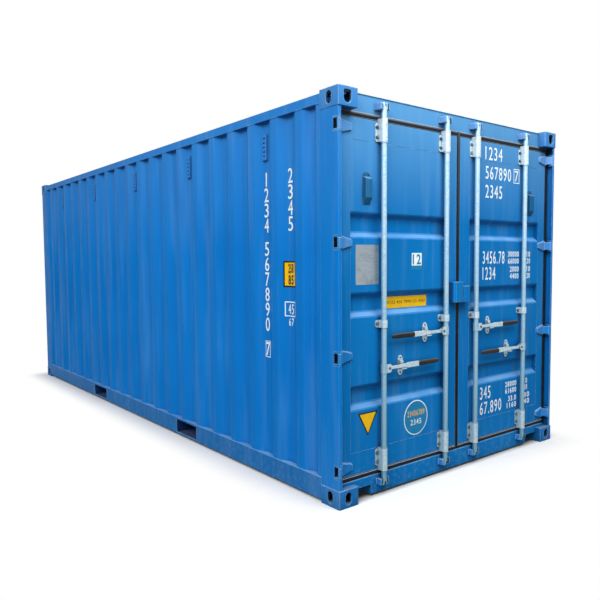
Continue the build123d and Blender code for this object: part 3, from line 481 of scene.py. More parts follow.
def joined(name, pieces):
    """One object made of several, in which each face keeps its finish."""
    shape = bmesh.new()
    materials = []
    for piece in pieces:
        materials += [material for material in piece.data.materials if material not in materials]
        start = len(shape.faces)
        shape.from_mesh(piece.data)
        shape.faces.ensure_lookup_table()
        for face in shape.faces[start:]:
            face.material_index = materials.index(piece.data.materials[face.material_index])
        bpy.data.objects.remove(piece)
    return from_shape(name, shape, *materials)


# %% [markdown]
# Small flat pieces, such as a plate, a label or a handle bar, are all cut from sheet or bar. One
# function takes the outline, gives it a thickness and rounds its rims, as a press or a grinder would.
# It serves the doors, which face minus Y, and the side walls, which face along X.

# %% Pieces cut from sheet
def sheet_piece(name, outline, plane, thickness, rim, material):
    """A flat piece that stands out from its plane by its thickness."""
    origin, across, up = plane
    outward = across.cross(up)
    shape = bmesh.new()
    face = shape.faces.new([shape.verts.new(origin + across * a + up * b) for a, b in outline])
    face.normal_update()
    if face.normal.dot(outward) < 0:
        face.normal_flip()
    moved = bmesh.ops.extrude_face_region(shape, geom=[face])["geom"]
    corners = [item for item in moved if isinstance(item, bmesh.types.BMVert)]
    bmesh.ops.translate(shape, vec=outward * thickness, verts=corners)
    bmesh.ops.recalc_face_normals(shape, faces=shape.faces)
    obj = from_shape(name, shape, material)
    if rim:
        round_edges(obj, rim, 50)
    return finish_mesh(obj)


def rectangle(x0, x1, z0, z1, corner=0.0, steps=4):
    """The outline of a rectangle, with round corners if a radius is given."""
    if not corner:
        return [(x0, z0), (x1, z0), (x1, z1), (x0, z1)]
    outline = []
    for cx, cz, start in ((x1 - corner, z0 + corner, -90), (x1 - corner, z1 - corner, 0),
                          (x0 + corner, z1 - corner, 90), (x0 + corner, z0 + corner, 180)):
        for step in range(steps + 1):
            angle = math.radians(start + 90 * step / steps)
            outline.append((cx + corner * math.cos(angle), cz + corner * math.sin(angle)))
    return outline


def disc(radius, centre=(0, 0), steps=72):
    """The outline of a circle."""
    angles = [2 * math.pi * i / steps for i in range(steps)]
    return [(centre[0] + radius * math.cos(a), centre[1] + radius * math.sin(a)) for a in angles]


# %% [markdown]
# The doors and the side walls carry rows of plain numbers, cut from white film: a text object is
# turned into a mesh, stretched to the height and width of its row, since the rows are tall and
# narrow, and given a fraction of a millimetre so that it lies on the paint. A frame round one digit
# is four thin strips.

# %% Rows of plain numbers
film = 0.6 * mm


def number_row(name, digits, box, plane, material, bold=0.004):
    """Digits that fill a box, x0 to x1 and z0 to z1, on the plane that carries them."""
    words = bpy.data.curves.new(name, "FONT")
    words.body = digits
    words.offset = bold
    words.space_character = 1.2
    words.extrude = 0.001
    words.resolution_u = 3
    letters = bpy.data.objects.new(name, words)
    bpy.context.scene.collection.objects.link(letters)
    mesh = bpy.data.meshes.new_from_object(letters.evaluated_get(bpy.context.evaluated_depsgraph_get()))
    bpy.data.objects.remove(letters)
    x0, x1, z0, z1 = box
    wide = [v.co.x for v in mesh.vertices]
    tall = [v.co.y for v in mesh.vertices]
    width_scale = (x1 - x0) / (max(wide) - min(wide))
    height_scale = (z1 - z0) / (max(tall) - min(tall))
    first, lowest = min(wide), min(tall)
    origin, across, up = plane
    outward = across.cross(up)
    for vertex in mesh.vertices:
        a = x0 + width_scale * (vertex.co.x - first)
        b = z0 + height_scale * (vertex.co.y - lowest)
        lift = film if vertex.co.z > 0 else 0.0
        vertex.co = origin + across * a + up * b + outward * lift
    return new_object(name, mesh, material)


def film_piece(name, outline, plane, ink):
    return sheet_piece(name, outline, plane, film, 0, ink)


def number_frame(name, box, bar, plane, ink):
    """Four thin strips round a box."""
    x0, x1, z0, z1 = box
    strips = [(x0, x1, z0, z0 + bar), (x0, x1, z1 - bar, z1),
              (x0, x0 + bar, z0 + bar, z1 - bar), (x1 - bar, x1, z0 + bar, z1 - bar)]
    return [film_piece(name, rectangle(*strip), plane, ink) for strip in strips]


# %% Numbers on the right door
small_row = 60 * mm
plain = 0.004
small_row_bold = 0.018
door_rows = [("1234", 0.325, 0.545, 2.302, 2.402), ("567890", 0.330, 0.665, 2.157, 2.257),
             ("7", 0.718, 0.766, 2.165, 2.249), ("2345", 0.330, 0.548, 2.015, 2.115),
             ("3456.78", 0.305, 0.590, 1.512, 1.610), ("1234", 0.305, 0.470, 1.390, 1.488),
             ("30000", 0.640, 0.790, 1.566, 1.610), ("66000", 0.640, 0.790, 1.510, 1.554),
             ("2000", 0.668, 0.790, 1.446, 1.490), ("4400", 0.668, 0.790, 1.390, 1.434),
             ("10", 0.905, 0.955, 1.566, 1.610), ("20", 0.905, 0.955, 1.510, 1.554),
             ("10", 0.905, 0.955, 1.446, 1.490), ("20", 0.905, 0.955, 1.390, 1.434),
             ("345", 0.290, 0.425, 0.462, 0.560), ("67.890", 0.290, 0.572, 0.342, 0.440),
             ("28000", 0.625, 0.780, 0.516, 0.560), ("61600", 0.625, 0.780, 0.462, 0.506),
             ("33.0", 0.668, 0.780, 0.396, 0.440), ("1160", 0.650, 0.780, 0.342, 0.386),
             ("10", 0.890, 0.940, 0.516, 0.560), ("20", 0.890, 0.940, 0.462, 0.506),
             ("30", 0.890, 0.975, 0.396, 0.440), ("40", 0.890, 0.975, 0.342, 0.386)]
right_numbers = number_frame("check_box", (0.703, 0.781, 2.150, 2.264), 6 * mm, door_plane, white_film)
for digits, *box in door_rows:
    bold = plain if box[3] - box[2] > small_row else small_row_bold
    right_numbers.append(number_row("row", digits, box, door_plane, white_film, bold))
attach(joined("right_door_numbers", right_numbers), "right_door")
print(len(door_rows), "rows on the right door")

# %% [markdown]
# The side walls carry two upright columns of digits, in the troughs nearest to the doors, where a
# passing crane won't scrape them. The wall's fold lines repeat every 278 mm from the middle of the
# box, so a trough is found by counting, and its floor lies one sheet short of the wall's full depth.

# %% Numbers on the side walls
wall_pitch = 278 * mm
wall_sheet = 2 * mm
trough_depth = wall_high.x - wall_low.x - wall_sheet
trough_floor = wall_face - trough_depth
digit_width = 50 * mm
narrow_digit_width = 13 * mm
digit_height = 98 * mm
digit_step = 107 * mm
wall_columns = [("1234", -8, 2.165), ("567890", -8, 1.680), ("7", -8, 0.968), ("2345", -9, 2.165)]


def wall_plane(side, trough):
    """The floor of one trough. Troughs towards the doors have minus numbers."""
    origin = Vector((sides[side] * trough_floor, trough * wall_pitch, 0))
    return origin, Vector((0, sides[side], 0)), upwards


for side in sides:
    marks = number_frame("check_frame", (-28.5 * mm, 28.5 * mm, 0.860, 0.978), 5 * mm,
                         wall_plane(side, -8), white_film)
    for digits, trough, top in wall_columns:
        for i, digit in enumerate(digits):
            half = (narrow_digit_width if digit == "1" else digit_width) / 2
            z1 = top - i * digit_step
            marks.append(number_row("digit", digit, (-half, half, z1 - digit_height, z1),
                                    wall_plane(side, trough), white_film))
    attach(joined(f"{side}_wall_numbers", marks), "box")
    print(side, "wall", len(marks), "pieces")

# %% [markdown]
# The left door carries a data plate, which is aluminium held by four rivets. Raised rules cross its
# face, and their places are shares of its height. Round it stand coloured labels of film: a yellow
# strip in a recess, a yellow triangle with a dark edge, and a square and a round one in teal and
# white. Those that aren't plain carry numbers. A label is two films, the smaller one on the larger
# one, so three planes carry them. Each box is given as x0, x1, z0 and z1, as it was measured.

# %% Data plate
plate_box = (-1.025, -0.820, 1.390, 1.645)
plate_thickness = 1.6 * mm
plate_plane = raised(door_plane, plate_thickness)
rule_margin = 16 * mm
rule_height = 1.6 * mm
rule_count = 7
lowest_rule = 0.06
rule_pitch = 0.14
x0, x1, z0, z1 = plate_box
plate = [sheet_piece("plate_body", rectangle(*plate_box, 8 * mm), door_plane, plate_thickness,
                     0.5 * mm, plate_metal)]
for rule in range(rule_count):
    z = z0 + (lowest_rule + rule_pitch * rule) * (z1 - z0)
    outline = rectangle(x0 + rule_margin, x1 - rule_margin, z, z + rule_height)
    plate.append(sheet_piece("plate_rule", outline, plate_plane, 0.5 * mm, 0, plate_metal))
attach(joined("left_door_data_plate", plate), "left_door")
print("data plate with", rule_count, "rules")

# %% Strip in the middle recess
recess_depth = 36 * mm
recess_plane = raised(door_plane, -recess_depth)
strip_box = (-0.710, -0.306, 1.2235, 1.3010)
strip_row_box = (-0.700, -0.316, 1.252, 1.273)
strip = film_piece("left_door_yellow_strip", rectangle(*strip_box, 2 * mm), recess_plane, yellow_film)
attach(strip, "left_door")
strip_numbers = number_row("left_door_strip_numbers", "0123 456 7890123 4567", strip_row_box,
                           raised(recess_plane, film), black_film)
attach(strip_numbers, "left_door")
print("strip", round(strip_box[1] - strip_box[0], 3), "metres long")

# %% Triangle, square and round label
on_paint, on_film, on_face = [raised(door_plane, lift) for lift in (0, film, 2 * film)]

corners = [Vector((-1.005, 0.562)), Vector((-0.917, 0.405)), Vector((-0.829, 0.562))]
centre = sum(corners, Vector((0, 0))) / 3
face_share = 0.82
triangle = [film_piece("edge", corners, on_paint, black_film),
            film_piece("face", [centre + face_share * (corner - centre) for corner in corners],
                       on_film, yellow_film)]
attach(joined("left_door_triangle", triangle), "left_door")

square_box = (-0.505, -0.392, 1.478, 1.600)
square_face_box = (-0.499, -0.398, 1.508, 1.594)
square = [film_piece("edge", rectangle(*square_box, 4 * mm), on_paint, teal_film),
          film_piece("face", rectangle(*square_face_box, 3 * mm), on_film, white_film),
          number_row("row", "12", (-0.490, -0.407, 1.516, 1.586), on_face, teal_film, 0.02)]
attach(joined("left_door_square_label", square), "left_door")

round_centre = (-0.450, 0.450)
round_radius = 122 * mm
ring_width = 7 * mm
round_label = [film_piece("edge", disc(round_radius, round_centre), on_paint, white_film),
               film_piece("face", disc(round_radius - ring_width, round_centre), on_film, teal_film),
               number_row("top", "23456789", (-0.537, -0.363, 0.462, 0.502), on_face, yellow_film),
               number_row("low", "2345", (-0.505, -0.395, 0.400, 0.438), on_face, white_film)]
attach(joined("left_door_round_label", round_label), "left_door")
print("a triangle, a square and a round label")

# %% [markdown]
# The yellow height mark on each side wall is wider than the trough that it is stuck in, so the film
# folds up both slopes. It follows the same folds as the wall. A press doesn't leave a sharp corner at
# a fold, so each one is drawn with a short flat across it, six millimetres either way.

# %% Height marks
mark_trough = -9
heavy = 0.035
trough_flat_half = 35 * mm
trough_mouth_half = 103 * mm
fold_reach = 6 * mm
digit_half = 28.5 * mm


def eased(corners):
    """The same folded line, with a short flat across each fold."""
    corners = [Vector(corner) for corner in corners]
    line = [corners[0]]
    for before, corner, after in zip(corners, corners[1:], corners[2:]):
        line.append(corner + (before - corner).normalized() * fold_reach)
        line.append(corner + (after - corner).normalized() * fold_reach)
    return line + [corners[-1]]


def folded_film(half_width, z0, z1, side, lift, ink):
    """A film in the marked trough that runs up its slopes, lift above the paint."""
    slope = trough_depth / (trough_mouth_half - trough_flat_half)
    edge_rise = slope * (half_width - trough_flat_half)
    folds = eased([(-half_width, edge_rise), (-trough_flat_half, 0), (trough_flat_half, 0),
                   (half_width, edge_rise)])
    origin, across, up = wall_plane(side, mark_trough)
    outward = across.cross(up)
    shape = bmesh.new()
    rings = []
    for along, rise in folds:
        foot = origin + Vector((0, along, 0))
        rings.append([shape.verts.new(foot + outward * (rise + out) + up * z)
                      for out, z in ((lift, z0), (lift, z1), (lift + film, z1), (lift + film, z0))])
    bridge(shape, rings)
    shape.faces.new(rings[0])
    shape.faces.new(rings[-1])
    bmesh.ops.recalc_face_normals(shape, faces=shape.faces)
    return from_shape("folded_film", shape, ink)


for side in sides:
    on_wall = wall_plane(side, mark_trough)
    on_mark = raised(on_wall, 2 * film)
    mark = [folded_film(66 * mm, 1.368, 1.545, side, 0.0, black_film),
            folded_film(56 * mm, 1.379, 1.534, side, film, yellow_film),
            number_row("top", "258", (-digit_half, digit_half, 1.462, 1.528), on_mark, black_film, heavy),
            number_row("low", "85", (-digit_half, digit_half, 1.385, 1.451), on_mark, black_film, heavy)]
    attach(joined(f"{side}_height_mark", mark), "box")

    framed = [folded_film(58 * mm, 1.169, 1.271, side, 0.0, white_film),
              folded_film(51 * mm, 1.176, 1.264, side, film, blue_paint),
              number_row("row", "45", (-digit_half, digit_half, 1.186, 1.254), on_mark, white_film),
              number_row("low", "67", (-26 * mm, 26 * mm, 1.106, 1.158), on_wall, white_film)]
    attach(joined(f"{side}_framed_number", framed), "box")
    print(side, "height mark and framed number")

# %% [markdown]
# Bolts, rivets and screws repeat, so Geometry Nodes make them. The input is a cloud of points, one
# for each fastener. The tree builds one head, a washer under a six sided or round head, and puts a
# copy on every point, turned by a random angle, because no fitter lines bolts up. Realize Instances
# then makes real faces of the copies, which the export needs.

# %% Start and run of a tree
def new_tree(name, inputs):
    """A tree that takes a mesh and the inputs named, each with its kind and its first value."""
    tree = bpy.data.node_groups.new(name, "GeometryNodeTree")
    tree.interface.new_socket("Geometry", in_out="INPUT", socket_type="NodeSocketGeometry")
    for label, (kind, value) in inputs.items():
        socket = tree.interface.new_socket(label, in_out="INPUT", socket_type=f"NodeSocket{kind}")
        socket.default_value = value
    tree.interface.new_socket("Geometry", in_out="OUTPUT", socket_type="NodeSocketGeometry")
    return tree, add(tree, "NodeGroupInput").node.outputs


def run_tree(name, points, edges, tree, values, smooth=False):
    """Runs a tree on points and edges and keeps the result as a plain mesh."""
    mesh = bpy.data.meshes.new(name)
    mesh.from_pydata([tuple(point) for point in points], edges, [])
    obj = new_object(name, mesh)
    modifier = obj.modifiers.new("tree", "NODES")
    modifier.node_group = tree
    for item in tree.interface.items_tree:
        if item.in_out == "INPUT" and item.name in values:
            modifier[item.identifier] = values[item.name]
    finish_mesh(obj, smooth)
    print(name, len(points), "points,", len(obj.data.polygons), "faces")
    return obj


# %% Fastener tree
def fastener_tree():
    tree, given = new_tree("fastener", {
        "Head Sides": ("Int", 6), "Washer Radius": ("Float", 11 * mm), "Washer Thickness": ("Float", 2 * mm),
        "Head Radius": ("Float", 9.2 * mm), "Head Height": ("Float", 6.5 * mm),
        "Turn": ("Vector", (0, 0, 0)), "Seed": ("Int", 0), "Finish": ("Material", grey_bolt)})
    washer = add(tree, "GeometryNodeMeshCylinder", {"Vertices": 20, "Radius": given["Washer Radius"],
                                                    "Depth": given["Washer Thickness"]}, out="Mesh")
    crown = add(tree, "ShaderNodeMath", {0: given["Head Radius"], 1: 0.84}, operation="MULTIPLY")
    head = add(tree, "GeometryNodeMeshCone", {"Vertices": given["Head Sides"], "Radius Top": crown,
                                              "Radius Bottom": given["Head Radius"],
                                              "Depth": given["Head Height"]}, out="Mesh")
    half_washer = add(tree, "ShaderNodeMath", {0: given["Washer Thickness"], 1: 0.5}, operation="MULTIPLY")
    washer_up = add(tree, "ShaderNodeCombineXYZ", {"Z": half_washer})
    washer = add(tree, "GeometryNodeTransform", {"Geometry": washer, "Translation": washer_up})
    head_up = add(tree, "ShaderNodeCombineXYZ", {"Z": given["Washer Thickness"]})
    head = add(tree, "GeometryNodeTransform", {"Geometry": head, "Translation": head_up})
    both = add(tree, "GeometryNodeJoinGeometry", {0: head})
    tree.links.new(washer, both.node.inputs[0])
    spin = add(tree, "FunctionNodeRandomValue", {"Min": (0, 0, 0), "Max": (0, 0, 6.28),
                                                 "Seed": given["Seed"]}, data_type="FLOAT_VECTOR")
    spun = add(tree, "FunctionNodeRotateRotation", {"Rotation": given["Turn"], "Rotate By": spin},
               rotation_space="LOCAL")
    copies = add(tree, "GeometryNodeInstanceOnPoints", {"Points": given["Geometry"], "Instance": both,
                                                        "Rotation": spun})
    real = add(tree, "GeometryNodeRealizeInstances", {"Geometry": copies})
    finished = add(tree, "GeometryNodeSetMaterial", {"Geometry": real, "Material": given["Finish"]})
    add(tree, "NodeGroupOutput", {0: finished})
    return tree


fastener = fastener_tree()
six_sided = 6
round_sided = 14
to_the_rear = (math.pi / 2, 0.0, 0.0)
to_the_sky = (0.0, 0.0, 0.0)


def fasteners(name, body, points, washer, head, head_sides, turn, seed, finish):
    """One fastener on each point. Washer and head are each a radius and a height, in millimetres."""
    heads = run_tree(name, points, [], fastener, {
        "Washer Radius": washer[0] * mm, "Washer Thickness": washer[1] * mm, "Head Radius": head[0] * mm,
        "Head Height": head[1] * mm, "Head Sides": head_sides, "Turn": turn, "Seed": seed, "Finish": finish})
    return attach(heads, body)


# %% [markdown]
# Each rod bracket has a bolt at every corner of its plate, or one each side where the plate is
# narrow. The plate of a bracket is 6 mm thick, so the bolts stand that far out of the leaf. Rivets
# hold the data plate at its corners, and each vent hood hangs from two screws.

# %% Bolts, rivets and screws of the doors
bracket_face = leaf_face - 6 * mm
bolt_offset = 34.5 * mm
bolt_levels = (0.217, 0.278, 1.1325, 2.330, 2.393)
for side, sign in sides.items():
    places = [(rod_places[side, name].x + step * bolt_offset, bracket_face, level)
              for name in ("inner", "outer") for step in (-1, 1) for level in bolt_levels]
    fasteners(f"{side}_bracket_bolts", f"{side}_door", places, (11, 2), (9.2, 6.5), six_sided,
              to_the_rear, 3 + sign, grey_bolt)

rivet_inset = 9 * mm
x0, x1, z0, z1 = plate_box
places = [(x, plate_plane[0].y, z) for x in (x0 + rivet_inset, x1 - rivet_inset)
          for z in (z0 + rivet_inset, z1 - rivet_inset)]
fasteners("left_door_plate_rivets", "left_door", places, (3.5, 0.5), (3, 1.2), round_sided,
          to_the_rear, 1, bright_zinc)

hood_tab = 2 * mm
screw_below_top = 17 * mm
screw_offset = 19 * mm
for side in sides:
    vent_low, vent_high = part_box(f"{side}_door_vent")
    middle = (vent_low.x + vent_high.x) / 2
    places = [(middle + step * screw_offset, leaf_face - hood_tab, vent_high.z - screw_below_top)
              for step in (-1, 1)]
    fasteners(f"{side}_vent_screws", f"{side}_door", places, (6, 1), (4.5, 3), round_sided,
              to_the_rear, 5, grey_bolt)

# %% [markdown]
# The door seal is one rubber section run round the leaf, mitred at the corners. Its front lip laps
# over the frame of the opening and is slightly crowned, with a groove where it bends; behind it two
# fins press on the posts. A CAD ring stands for it, and here the true section replaces it. The gap is
# not the same on all four sides, so each point of the section says which share of the gap it takes.

# %% Door seal
leaf_inset = 60 * mm
lip_section = [(0.0, 64), (0.0, 60.5), (0.10, 59.2), (0.17, 60.6), (0.22, 60.6), (0.30, 58.2),
               (0.55, 57.0), (0.80, 58.4), (0.95, 61.5), (1.0, 64.6), (0.94, 66.6), (0.62, 67.0)]
fin_section = [(0.45, 69.0), (0.5, 74.0), (1.0, 76.5), (1.0, 80.0), (0.45, 82.0), (0.45, 92.0),
               (1.0, 96.0), (1.0, 100.0), (0.5, 104.5), (0.0, 105.0)]
fin_gaps = {"hinge": 9.7 * mm, "meeting": 9.5 * mm, "level": 18 * mm}


def door_seal(side):
    """Rings of four corners, one for each point of the section, joined in a loop."""
    sign = sides[side]
    ring_low, ring_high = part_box(f"{side}_door_gasket")
    leaf_low, leaf_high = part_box(f"{side}_door_frame")
    outer, inner = (ring_low.x, ring_high.x) if sign < 0 else (ring_high.x, ring_low.x)
    leaf_outer, leaf_inner = (leaf_low.x, leaf_high.x) if sign < 0 else (leaf_high.x, leaf_low.x)
    lip_gaps = (abs(outer - leaf_outer), abs(inner - leaf_inner), leaf_low.z - ring_low.z,
                ring_high.z - leaf_high.z)
    body_gaps = (fin_gaps["hinge"], fin_gaps["meeting"], fin_gaps["level"], fin_gaps["level"])
    shape = bmesh.new()
    rings = []
    for section, gaps in ((lip_section, lip_gaps), (fin_section, body_gaps)):
        hinge, meeting, below, above = gaps
        for share, depth in section:
            x0 = leaf_outer + sign * hinge * share
            x1 = leaf_inner - sign * meeting * share
            z0 = leaf_low.z - below * share
            z1 = leaf_high.z + above * share
            y = leaf_face - leaf_inset + depth * mm
            rings.append([shape.verts.new((x, y, z)) for x, z in rectangle(x0, x1, z0, z1)])
    bridge(shape, rings + rings[:1])
    bmesh.ops.recalc_face_normals(shape, faces=shape.faces)
    seal = from_shape(f"{side}_door_seal", shape, rubber)
    round_edges(seal, 0.7 * mm, 25)
    return finish_mesh(seal, smooth=True)


for side in sides:
    seal = door_seal(side)
    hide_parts(f"{side}_door_gasket")
    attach(seal, f"{side}_door")
    print(seal.name, len(seal.data.polygons), "faces")

# %% [markdown]
# A handle is a forged bar. From the eye on its pin it runs as a narrow flat to the catch, widens into
# a blade, and ends in a socket and a thick grip dipped in a dark sleeve. The bar is cut from an
# outline and rounded; the grip is a loft of flattened rings that shrink at both ends.

# %% Handle grip
grip_start = 336 * mm
grip_stop = 556 * mm
grip_half_depth = 9.6 * mm
grip_half_height = 17.4 * mm
grip_points = 20
squareness = 0.7
grip_swells = [(0.0, 0.84), (0.012, 0.97), (0.05, 1.0), (0.5, 0.98), (0.80, 0.93), (0.92, 0.86),
               (0.97, 0.72), (0.992, 0.48)]


def flattened(value):
    """Pushes a sine or cosine outwards, which makes a squarish ring of a round one."""
    return math.copysign(abs(value) ** squareness, value)


def handle_grip(start, direction, level):
    """Flattened rings along X, flat at the socket and closed by a pole at the tip."""
    length = direction * (grip_stop - grip_start)
    angles = [2 * math.pi * i / grip_points for i in range(grip_points)]
    shape = bmesh.new()
    rings = []
    for share, swell in grip_swells:
        rings.append([shape.verts.new((start + length * share,
                                       handle_middle + grip_half_depth * swell * flattened(math.cos(a)),
                                       level + grip_half_height * swell * flattened(math.sin(a))))
                      for a in angles])
    bridge(shape, rings)
    shape.faces.new(rings[0])
    tip = shape.verts.new((start + length, handle_middle, level))
    for i in range(grip_points):
        shape.faces.new((rings[-1][i], rings[-1][(i + 1) % grip_points], tip))
    bmesh.ops.recalc_face_normals(shape, faces=shape.faces)
    grip = from_shape("grip", shape, grip_sleeve)
    smoothing = grip.modifiers.new("round", "SUBSURF")
    smoothing.levels = 1
    smoothing.render_levels = 1
    return finish_mesh(grip, smooth=True)


# %% Handles
half_bar = [(25, 9), (34, 14), (46, 15), (66, 12), (84, 10.5), (150, 10.5), (200, 14), (300, 14)]
bar_outline = [(a * mm, b * mm) for a, b in half_bar + [(a, -b) for a, b in reversed(half_bar)]]
bar_thickness = 10 * mm
socket_outline = rectangle(226 * mm, 340 * mm, -17.6 * mm, 17.6 * mm, 3 * mm)
socket_thickness = 13.8 * mm
eye_outline = disc(14.8 * mm, steps=28)
eye_thickness = 13.6 * mm


def handle_place(side, name):
    """The rod's axis, the handle's pin, and the way along X that the handle points."""
    axis = rod_places[side, name]
    pin = axis_of[f"{side}_{name}_handle"]
    return axis, pin, 1 if pin.x > axis.x else -1


for side, name in rod_places:
    axis, pin, direction = handle_place(side, name)
    rod_plane = (Vector((axis.x, handle_middle, pin.z)), Vector((direction, 0, 0)), upwards)
    pin_plane = (Vector((pin.x, handle_middle, pin.z)), Vector((direction, 0, 0)), upwards)
    pieces = [sheet_piece("bar", bar_outline, raised(rod_plane, -bar_thickness / 2), bar_thickness,
                          1.6 * mm, new_zinc),
              sheet_piece("socket", socket_outline, raised(rod_plane, -socket_thickness / 2),
                          socket_thickness, 2.2 * mm, new_zinc),
              sheet_piece("eye", eye_outline, raised(pin_plane, -eye_thickness / 2), eye_thickness,
                          1.2 * mm, new_zinc),
              handle_grip(axis.x + direction * grip_start, direction, pin.z)]
    handle = f"{side}_{name}_handle"
    whole = joined(f"{handle}_forged", pieces)
    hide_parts(handle)
    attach(whole, handle)
    print(whole.name, len(whole.data.polygons), "faces")

# %% [markdown]
# The fork that holds a handle's pin is welded to the rod. A cover plate closes its front, and a bolt
# holds the pin. Both turn with the rod, and the handle swings behind them.

# %% Plates and bolts of the handle forks
half_fork = [(13, -28), (46, -28), (55, -19), (58, -8)]
fork_outline = [(a * mm, b * mm) for a, b in half_fork + [(a, -b) for a, b in reversed(half_fork)]]
fork_front = handle_middle - 14 * mm
cover_thickness = 3 * mm
for side, name in rod_places:
    axis, pin, direction = handle_place(side, name)
    rod = f"{side}_{name}_lock_rod"
    cover_back = fork_front if direction > 0 else fork_front - cover_thickness
    fork_plane = (Vector((axis.x, cover_back, pin.z)), Vector((direction, 0, 0)), upwards)
    cover = sheet_piece(f"{side}_{name}_fork_plate", fork_outline, fork_plane, cover_thickness,
                        0.8 * mm, new_zinc)
    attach(cover, rod)
    fasteners(f"{side}_{name}_fork_bolt", rod, [(pin.x, fork_front - cover_thickness, pin.z)],
              (10, 1.2), (8, 4.8), six_sided, to_the_rear, 7, grey_bolt)

# %% [markdown]
# A welded seam is a row of small overlapping puddles. Geometry Nodes draw one along any path: the
# path is cut into steps of a few millimetres, a sine wave of the step number swells and shrinks the
# radius as the puddles do, noise makes some larger than others, and a six sided section is run
# along it. About half of the bead is sunk in the steel that it joins.

# %% Weld bead tree
def weld_tree():
    tree, given = new_tree("weld_bead", {
        "Bead Radius": ("Float", 3.5 * mm), "Step": ("Float", 3 * mm), "Puddle Length": ("Float", 9 * mm),
        "Finish": ("Material", blue_paint)})
    path = add(tree, "GeometryNodeMeshToCurve", {"Mesh": given["Geometry"]})
    path = add(tree, "GeometryNodeResampleCurve", {"Curve": path, "Length": given["Step"]}, mode="LENGTH")
    along = add(tree, "GeometryNodeSplineParameter", out="Length")
    puddles = add(tree, "ShaderNodeMath", {0: along, 1: given["Puddle Length"]}, operation="DIVIDE")
    turns = add(tree, "ShaderNodeMath", {0: puddles, 1: 2 * math.pi}, operation="MULTIPLY")
    wave = add(tree, "ShaderNodeMath", {0: turns}, operation="SINE")
    uneven = add(tree, "ShaderNodeTexNoise", {"Scale": 40.0})
    swell = add(tree, "ShaderNodeMath", {0: wave, 1: 0.14, 2: 0.7}, operation="MULTIPLY_ADD")
    swell = add(tree, "ShaderNodeMath", {0: uneven, 1: 0.6, 2: swell}, operation="MULTIPLY_ADD")
    path = add(tree, "GeometryNodeSetCurveRadius", {"Curve": path, "Radius": swell})
    section = add(tree, "GeometryNodeCurvePrimitiveCircle", {"Resolution": 6,
                                                             "Radius": given["Bead Radius"]})
    bead = add(tree, "GeometryNodeCurveToMesh", {"Curve": path, "Profile Curve": section, "Scale": swell,
                                                 "Fill Caps": True})
    real = add(tree, "GeometryNodeRealizeInstances", {"Geometry": bead})
    finished = add(tree, "GeometryNodeSetMaterial", {"Geometry": real, "Material": given["Finish"]})
    add(tree, "NodeGroupOutput", {0: finished})
    return tree


weld_bead = weld_tree()


def weld(name, paths, radius, body, step=3 * mm, finish=blue_paint):
    """Beads along paths, each a list of points."""
    points = []
    edges = []
    for path in paths:
        start = len(points)
        points += path
        edges += [(i, i + 1) for i in range(start, len(points) - 1)]
    bead = run_tree(name, points, edges, weld_bead,
                    {"Bead Radius": radius, "Step": step, "Finish": finish}, smooth=True)
    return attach(bead, body)


# %% Welds along the feet and heads of the side walls
wall_span = wall_high.y
trough_count = 9
end_strip = 35 * mm
outer_flat = 72 * mm
end_slope = 50 * mm


def wall_line(sign, z, outside):
    """The fold points of a side wall at one level, from the doors to the closed end."""
    x_face = sign * (wall_face + outside)
    x_floor = sign * (wall_face - trough_depth + outside)
    last_edge = trough_count * wall_pitch + trough_mouth_half
    end_half = (wall_span - last_edge - outer_flat - end_strip) / 2
    end_centre = last_edge + outer_flat + end_half
    troughs = [(k * wall_pitch, trough_mouth_half, trough_flat_half)
               for k in range(-trough_count, trough_count + 1)]
    end_trough = (end_half, end_half - end_slope)
    line = [(x_face, -wall_span, z)]
    for middle, mouth, flat in [(-end_centre, *end_trough), *troughs, (end_centre, *end_trough)]:
        line += [(x_face, middle - mouth, z), (x_floor, middle - flat, z),
                 (x_floor, middle + flat, z), (x_face, middle + mouth, z)]
    return eased(line + [(x_face, wall_span, z)])


for side, sign in sides.items():
    foot = wall_line(sign, wall_low.z, 0.2 * mm)
    head = wall_line(sign, wall_high.z, 0.6 * mm)
    # The foot weld takes the lighter ledge paint, a painted highlight.
    weld(f"{side}_wall_foot_weld", [foot], 3.5 * mm, "box", finish=ledge_paint)
    weld(f"{side}_wall_head_weld", [head], 3.2 * mm, "box")

# %% Welds round the posts, where they meet the castings
casting_levels = (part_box("bottom_castings")[1].z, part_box("top_castings")[0].z)
front_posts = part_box("front_posts")[1]
side_line = front_posts.x - 0.5 * mm
front_line = front_posts.y - 0.5 * mm
rear_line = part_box("left_rear_post")[0].y - 0.5 * mm
# The outline of a right hand post, as x and y, along the faces that can be seen.
rear_corner = [(side_line, -2.850), (side_line, -3.021), (1.190, rear_line)]
front_corner = [(side_line, 2.852), (side_line, 3.0185), (1.208, front_line), (1.058, front_line)]
post_paths = [[(sign * x, y, z) for x, y in corner]
              for sign in (-1, 1) for z in casting_levels for corner in (rear_corner, front_corner)]
weld("post_welds", post_paths, 2.6 * mm, "box", 4 * mm)

# %% Stitch welds of the door leaves, between the panel and its frame
stitch_levels = (2.298, 0.313)
stitch_start = 150 * mm
stitch_step = 190 * mm
stitch_length = 135 * mm
stitch_count = 5
stitch_sides = (1.070, 0.137)
stitch_spans = ((0.320, 0.585), (0.748, 1.182), (1.342, 1.690), (1.850, 2.290))
for side, sign in sides.items():
    starts = [stitch_start + i * stitch_step for i in range(stitch_count)]
    stitches = [[(sign * x, leaf_face, z), (sign * (x + stitch_length), leaf_face, z)]
                for z in stitch_levels for x in starts]
    stitches += [[(sign * x, leaf_face, z0), (sign * x, leaf_face, z1)]
                 for x in stitch_sides for z0, z1 in stitch_spans]
    weld(f"{side}_leaf_welds", stitches, 1.6 * mm, f"{side}_door", 4 * mm)

